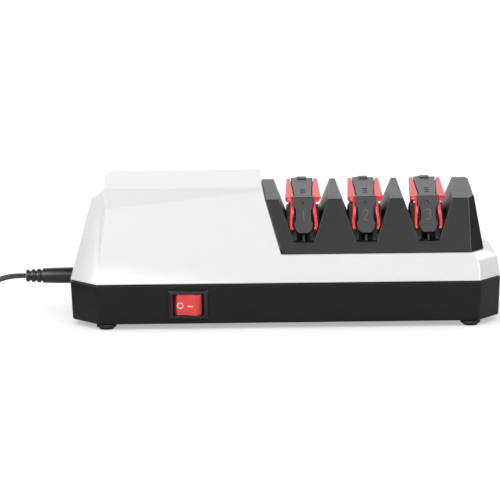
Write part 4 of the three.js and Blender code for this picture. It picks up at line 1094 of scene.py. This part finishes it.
print("marks on the clips:", len(numeral_paths) * (1 + len(tick_places)))

# %% [markdown]
# Product pictures of this kind stand on pure white. The floor is a pale plane with a glow that only the
# camera sees, and the world gives an even soft light. A large soft lamp up to the left models the
# facets, a weaker one in front fills them, and one behind lights the back. Reflections see something
# else than the camera does: darker surroundings with bright screens at the sides, in front at the
# height of the part and behind it. A glossy dark plastic shows mostly what stands round it, so these
# screens, and not the lamps, set its tones.

# %% Lay the floor
FLOOR_GLOW = 0.42


def make_floor():
    size = 6.0
    corners = [(-size, -size, 0), (size, -size, 0), (size, size, 0), (-size, size, 0)]
    floor = add_piece("floor", corners, [(0, 1, 2, 3)])
    material, tree, shader = begin_finish("floor_white", roughness=0.9, specular=0.0)
    shader.inputs["Base Color"].default_value = (0.8, 0.8, 0.8, 1)
    rays = tree.nodes.new("ShaderNodeLightPath")
    seen = tree.nodes.new("ShaderNodeMath")
    seen.operation = "MULTIPLY"
    seen.inputs[1].default_value = FLOOR_GLOW
    shader.inputs["Emission Color"].default_value = (1, 1, 1, 1)
    tree.links.new(rays.outputs["Is Camera Ray"], seen.inputs[0])
    tree.links.new(seen.outputs[0], shader.inputs["Emission Strength"])
    coat(floor, material)
    return floor


floor = make_floor()
print("floor material:", floor.active_material.name)


# %% Make a screen for reflections
def screen(tree, part, stops):
    """Map one part of a ray's direction, from -1 to 1, through (place, level) stops."""
    spread = tree.nodes.new("ShaderNodeMapRange")
    spread.inputs["From Min"].default_value = -1
    spread.inputs["From Max"].default_value = 1
    tree.links.new(part, spread.inputs["Value"])
    steps = tree.nodes.new("ShaderNodeValToRGB")
    while len(steps.color_ramp.elements) < len(stops):
        steps.color_ramp.elements.new(0.5)
    for element, (place, level) in zip(steps.color_ramp.elements, stops):
        element.position = (place + 1) / 2
        element.color = (level, level, level, 1)
    tree.links.new(spread.outputs["Result"], steps.inputs["Fac"])
    return steps.outputs["Color"]


def combine(tree, operation, first, second):
    node = tree.nodes.new("ShaderNodeMath")
    node.operation = operation
    tree.links.new(first, node.inputs[0])
    tree.links.new(second, node.inputs[1])
    return node.outputs[0]


# %% Light the world
WORLD_LIGHT = 0.74
SIDE_SCREENS = ((-0.8, 0.6), (-0.7, 6), (-0.45, 6), (-0.28, 1), (0.28, 1), (0.45, 6), (0.7, 6), (0.8, 0.5))
FRONT_SCREEN = ((-0.2, 1), (0.3, 0.35))
BACK_SCREEN = ((0.4, 0), (0.75, 1))
HEIGHT_SCREENS = ((0, 0.2), (0.3, 0.8), (0.42, 3.4), (0.55, 1.45), (0.78, 1.45), (0.88, 0.1))


def light_world(strength):
    """Even light, white to the camera, with screens that only reflections see."""
    world = bpy.data.worlds.new("studio")
    scene.world = world
    world.use_nodes = True
    tree = world.node_tree
    back = tree.nodes["Background"]
    rays = tree.nodes.new("ShaderNodeLightPath").outputs
    where = tree.nodes.new("ShaderNodeTexCoord")
    way = tree.nodes.new("ShaderNodeSeparateXYZ")
    tree.links.new(where.outputs["Generated"], way.inputs[0])

    sides = screen(tree, way.outputs["X"], SIDE_SCREENS)
    behind = screen(tree, way.outputs["Y"], BACK_SCREEN)
    above = screen(tree, way.outputs["Z"], HEIGHT_SCREENS)
    ahead = screen(tree, way.outputs["Y"], FRONT_SCREEN)
    before = combine(tree, "MULTIPLY", combine(tree, "MULTIPLY", sides, above), ahead)
    mirrored = combine(tree, "MAXIMUM", before, behind)
    glossy = combine(tree, "MULTIPLY", mirrored, rays["Is Glossy Ray"])

    plain = tree.nodes.new("ShaderNodeMapRange")
    plain.inputs["From Min"].default_value = 1.0
    plain.inputs["From Max"].default_value = 0.0
    plain.inputs["To Min"].default_value = 0.0
    plain.inputs["To Max"].default_value = strength
    tree.links.new(rays["Is Glossy Ray"], plain.inputs["Value"])
    seen = combine(tree, "MAXIMUM", rays["Is Camera Ray"], rays["Is Transmission Ray"])
    lit = combine(tree, "MAXIMUM", plain.outputs["Result"], glossy)
    tree.links.new(combine(tree, "MAXIMUM", lit, seen), back.inputs["Strength"])
    back.inputs["Color"].default_value = (1, 1, 1, 1)


light_world(WORLD_LIGHT)
print("world:", scene.world.name)


# %% Set the lamps
LAMP_TARGET = Vector((0, 0, 0.04))


def soft_lamp(name, place, size, power):
    data = bpy.data.lights.new(name, "AREA")
    data.size = size
    data.energy = power
    lamp = bpy.data.objects.new(name, data)
    lamp.location = place
    lamp.rotation_euler = (LAMP_TARGET - Vector(place)).to_track_quat("-Z", "Y").to_euler()
    scene.collection.objects.link(lamp)


soft_lamp("key_lamp", (-0.9, -1.1, 1.5), size=1.2, power=9.0)
soft_lamp("fill_lamp", (0.9, -1.5, 0.7), size=1.0, power=2.0)
soft_lamp("back_lamp", (0.0, 1.7, 1.1), size=1.4, power=3.2)
scene.view_settings.view_transform = "Standard"
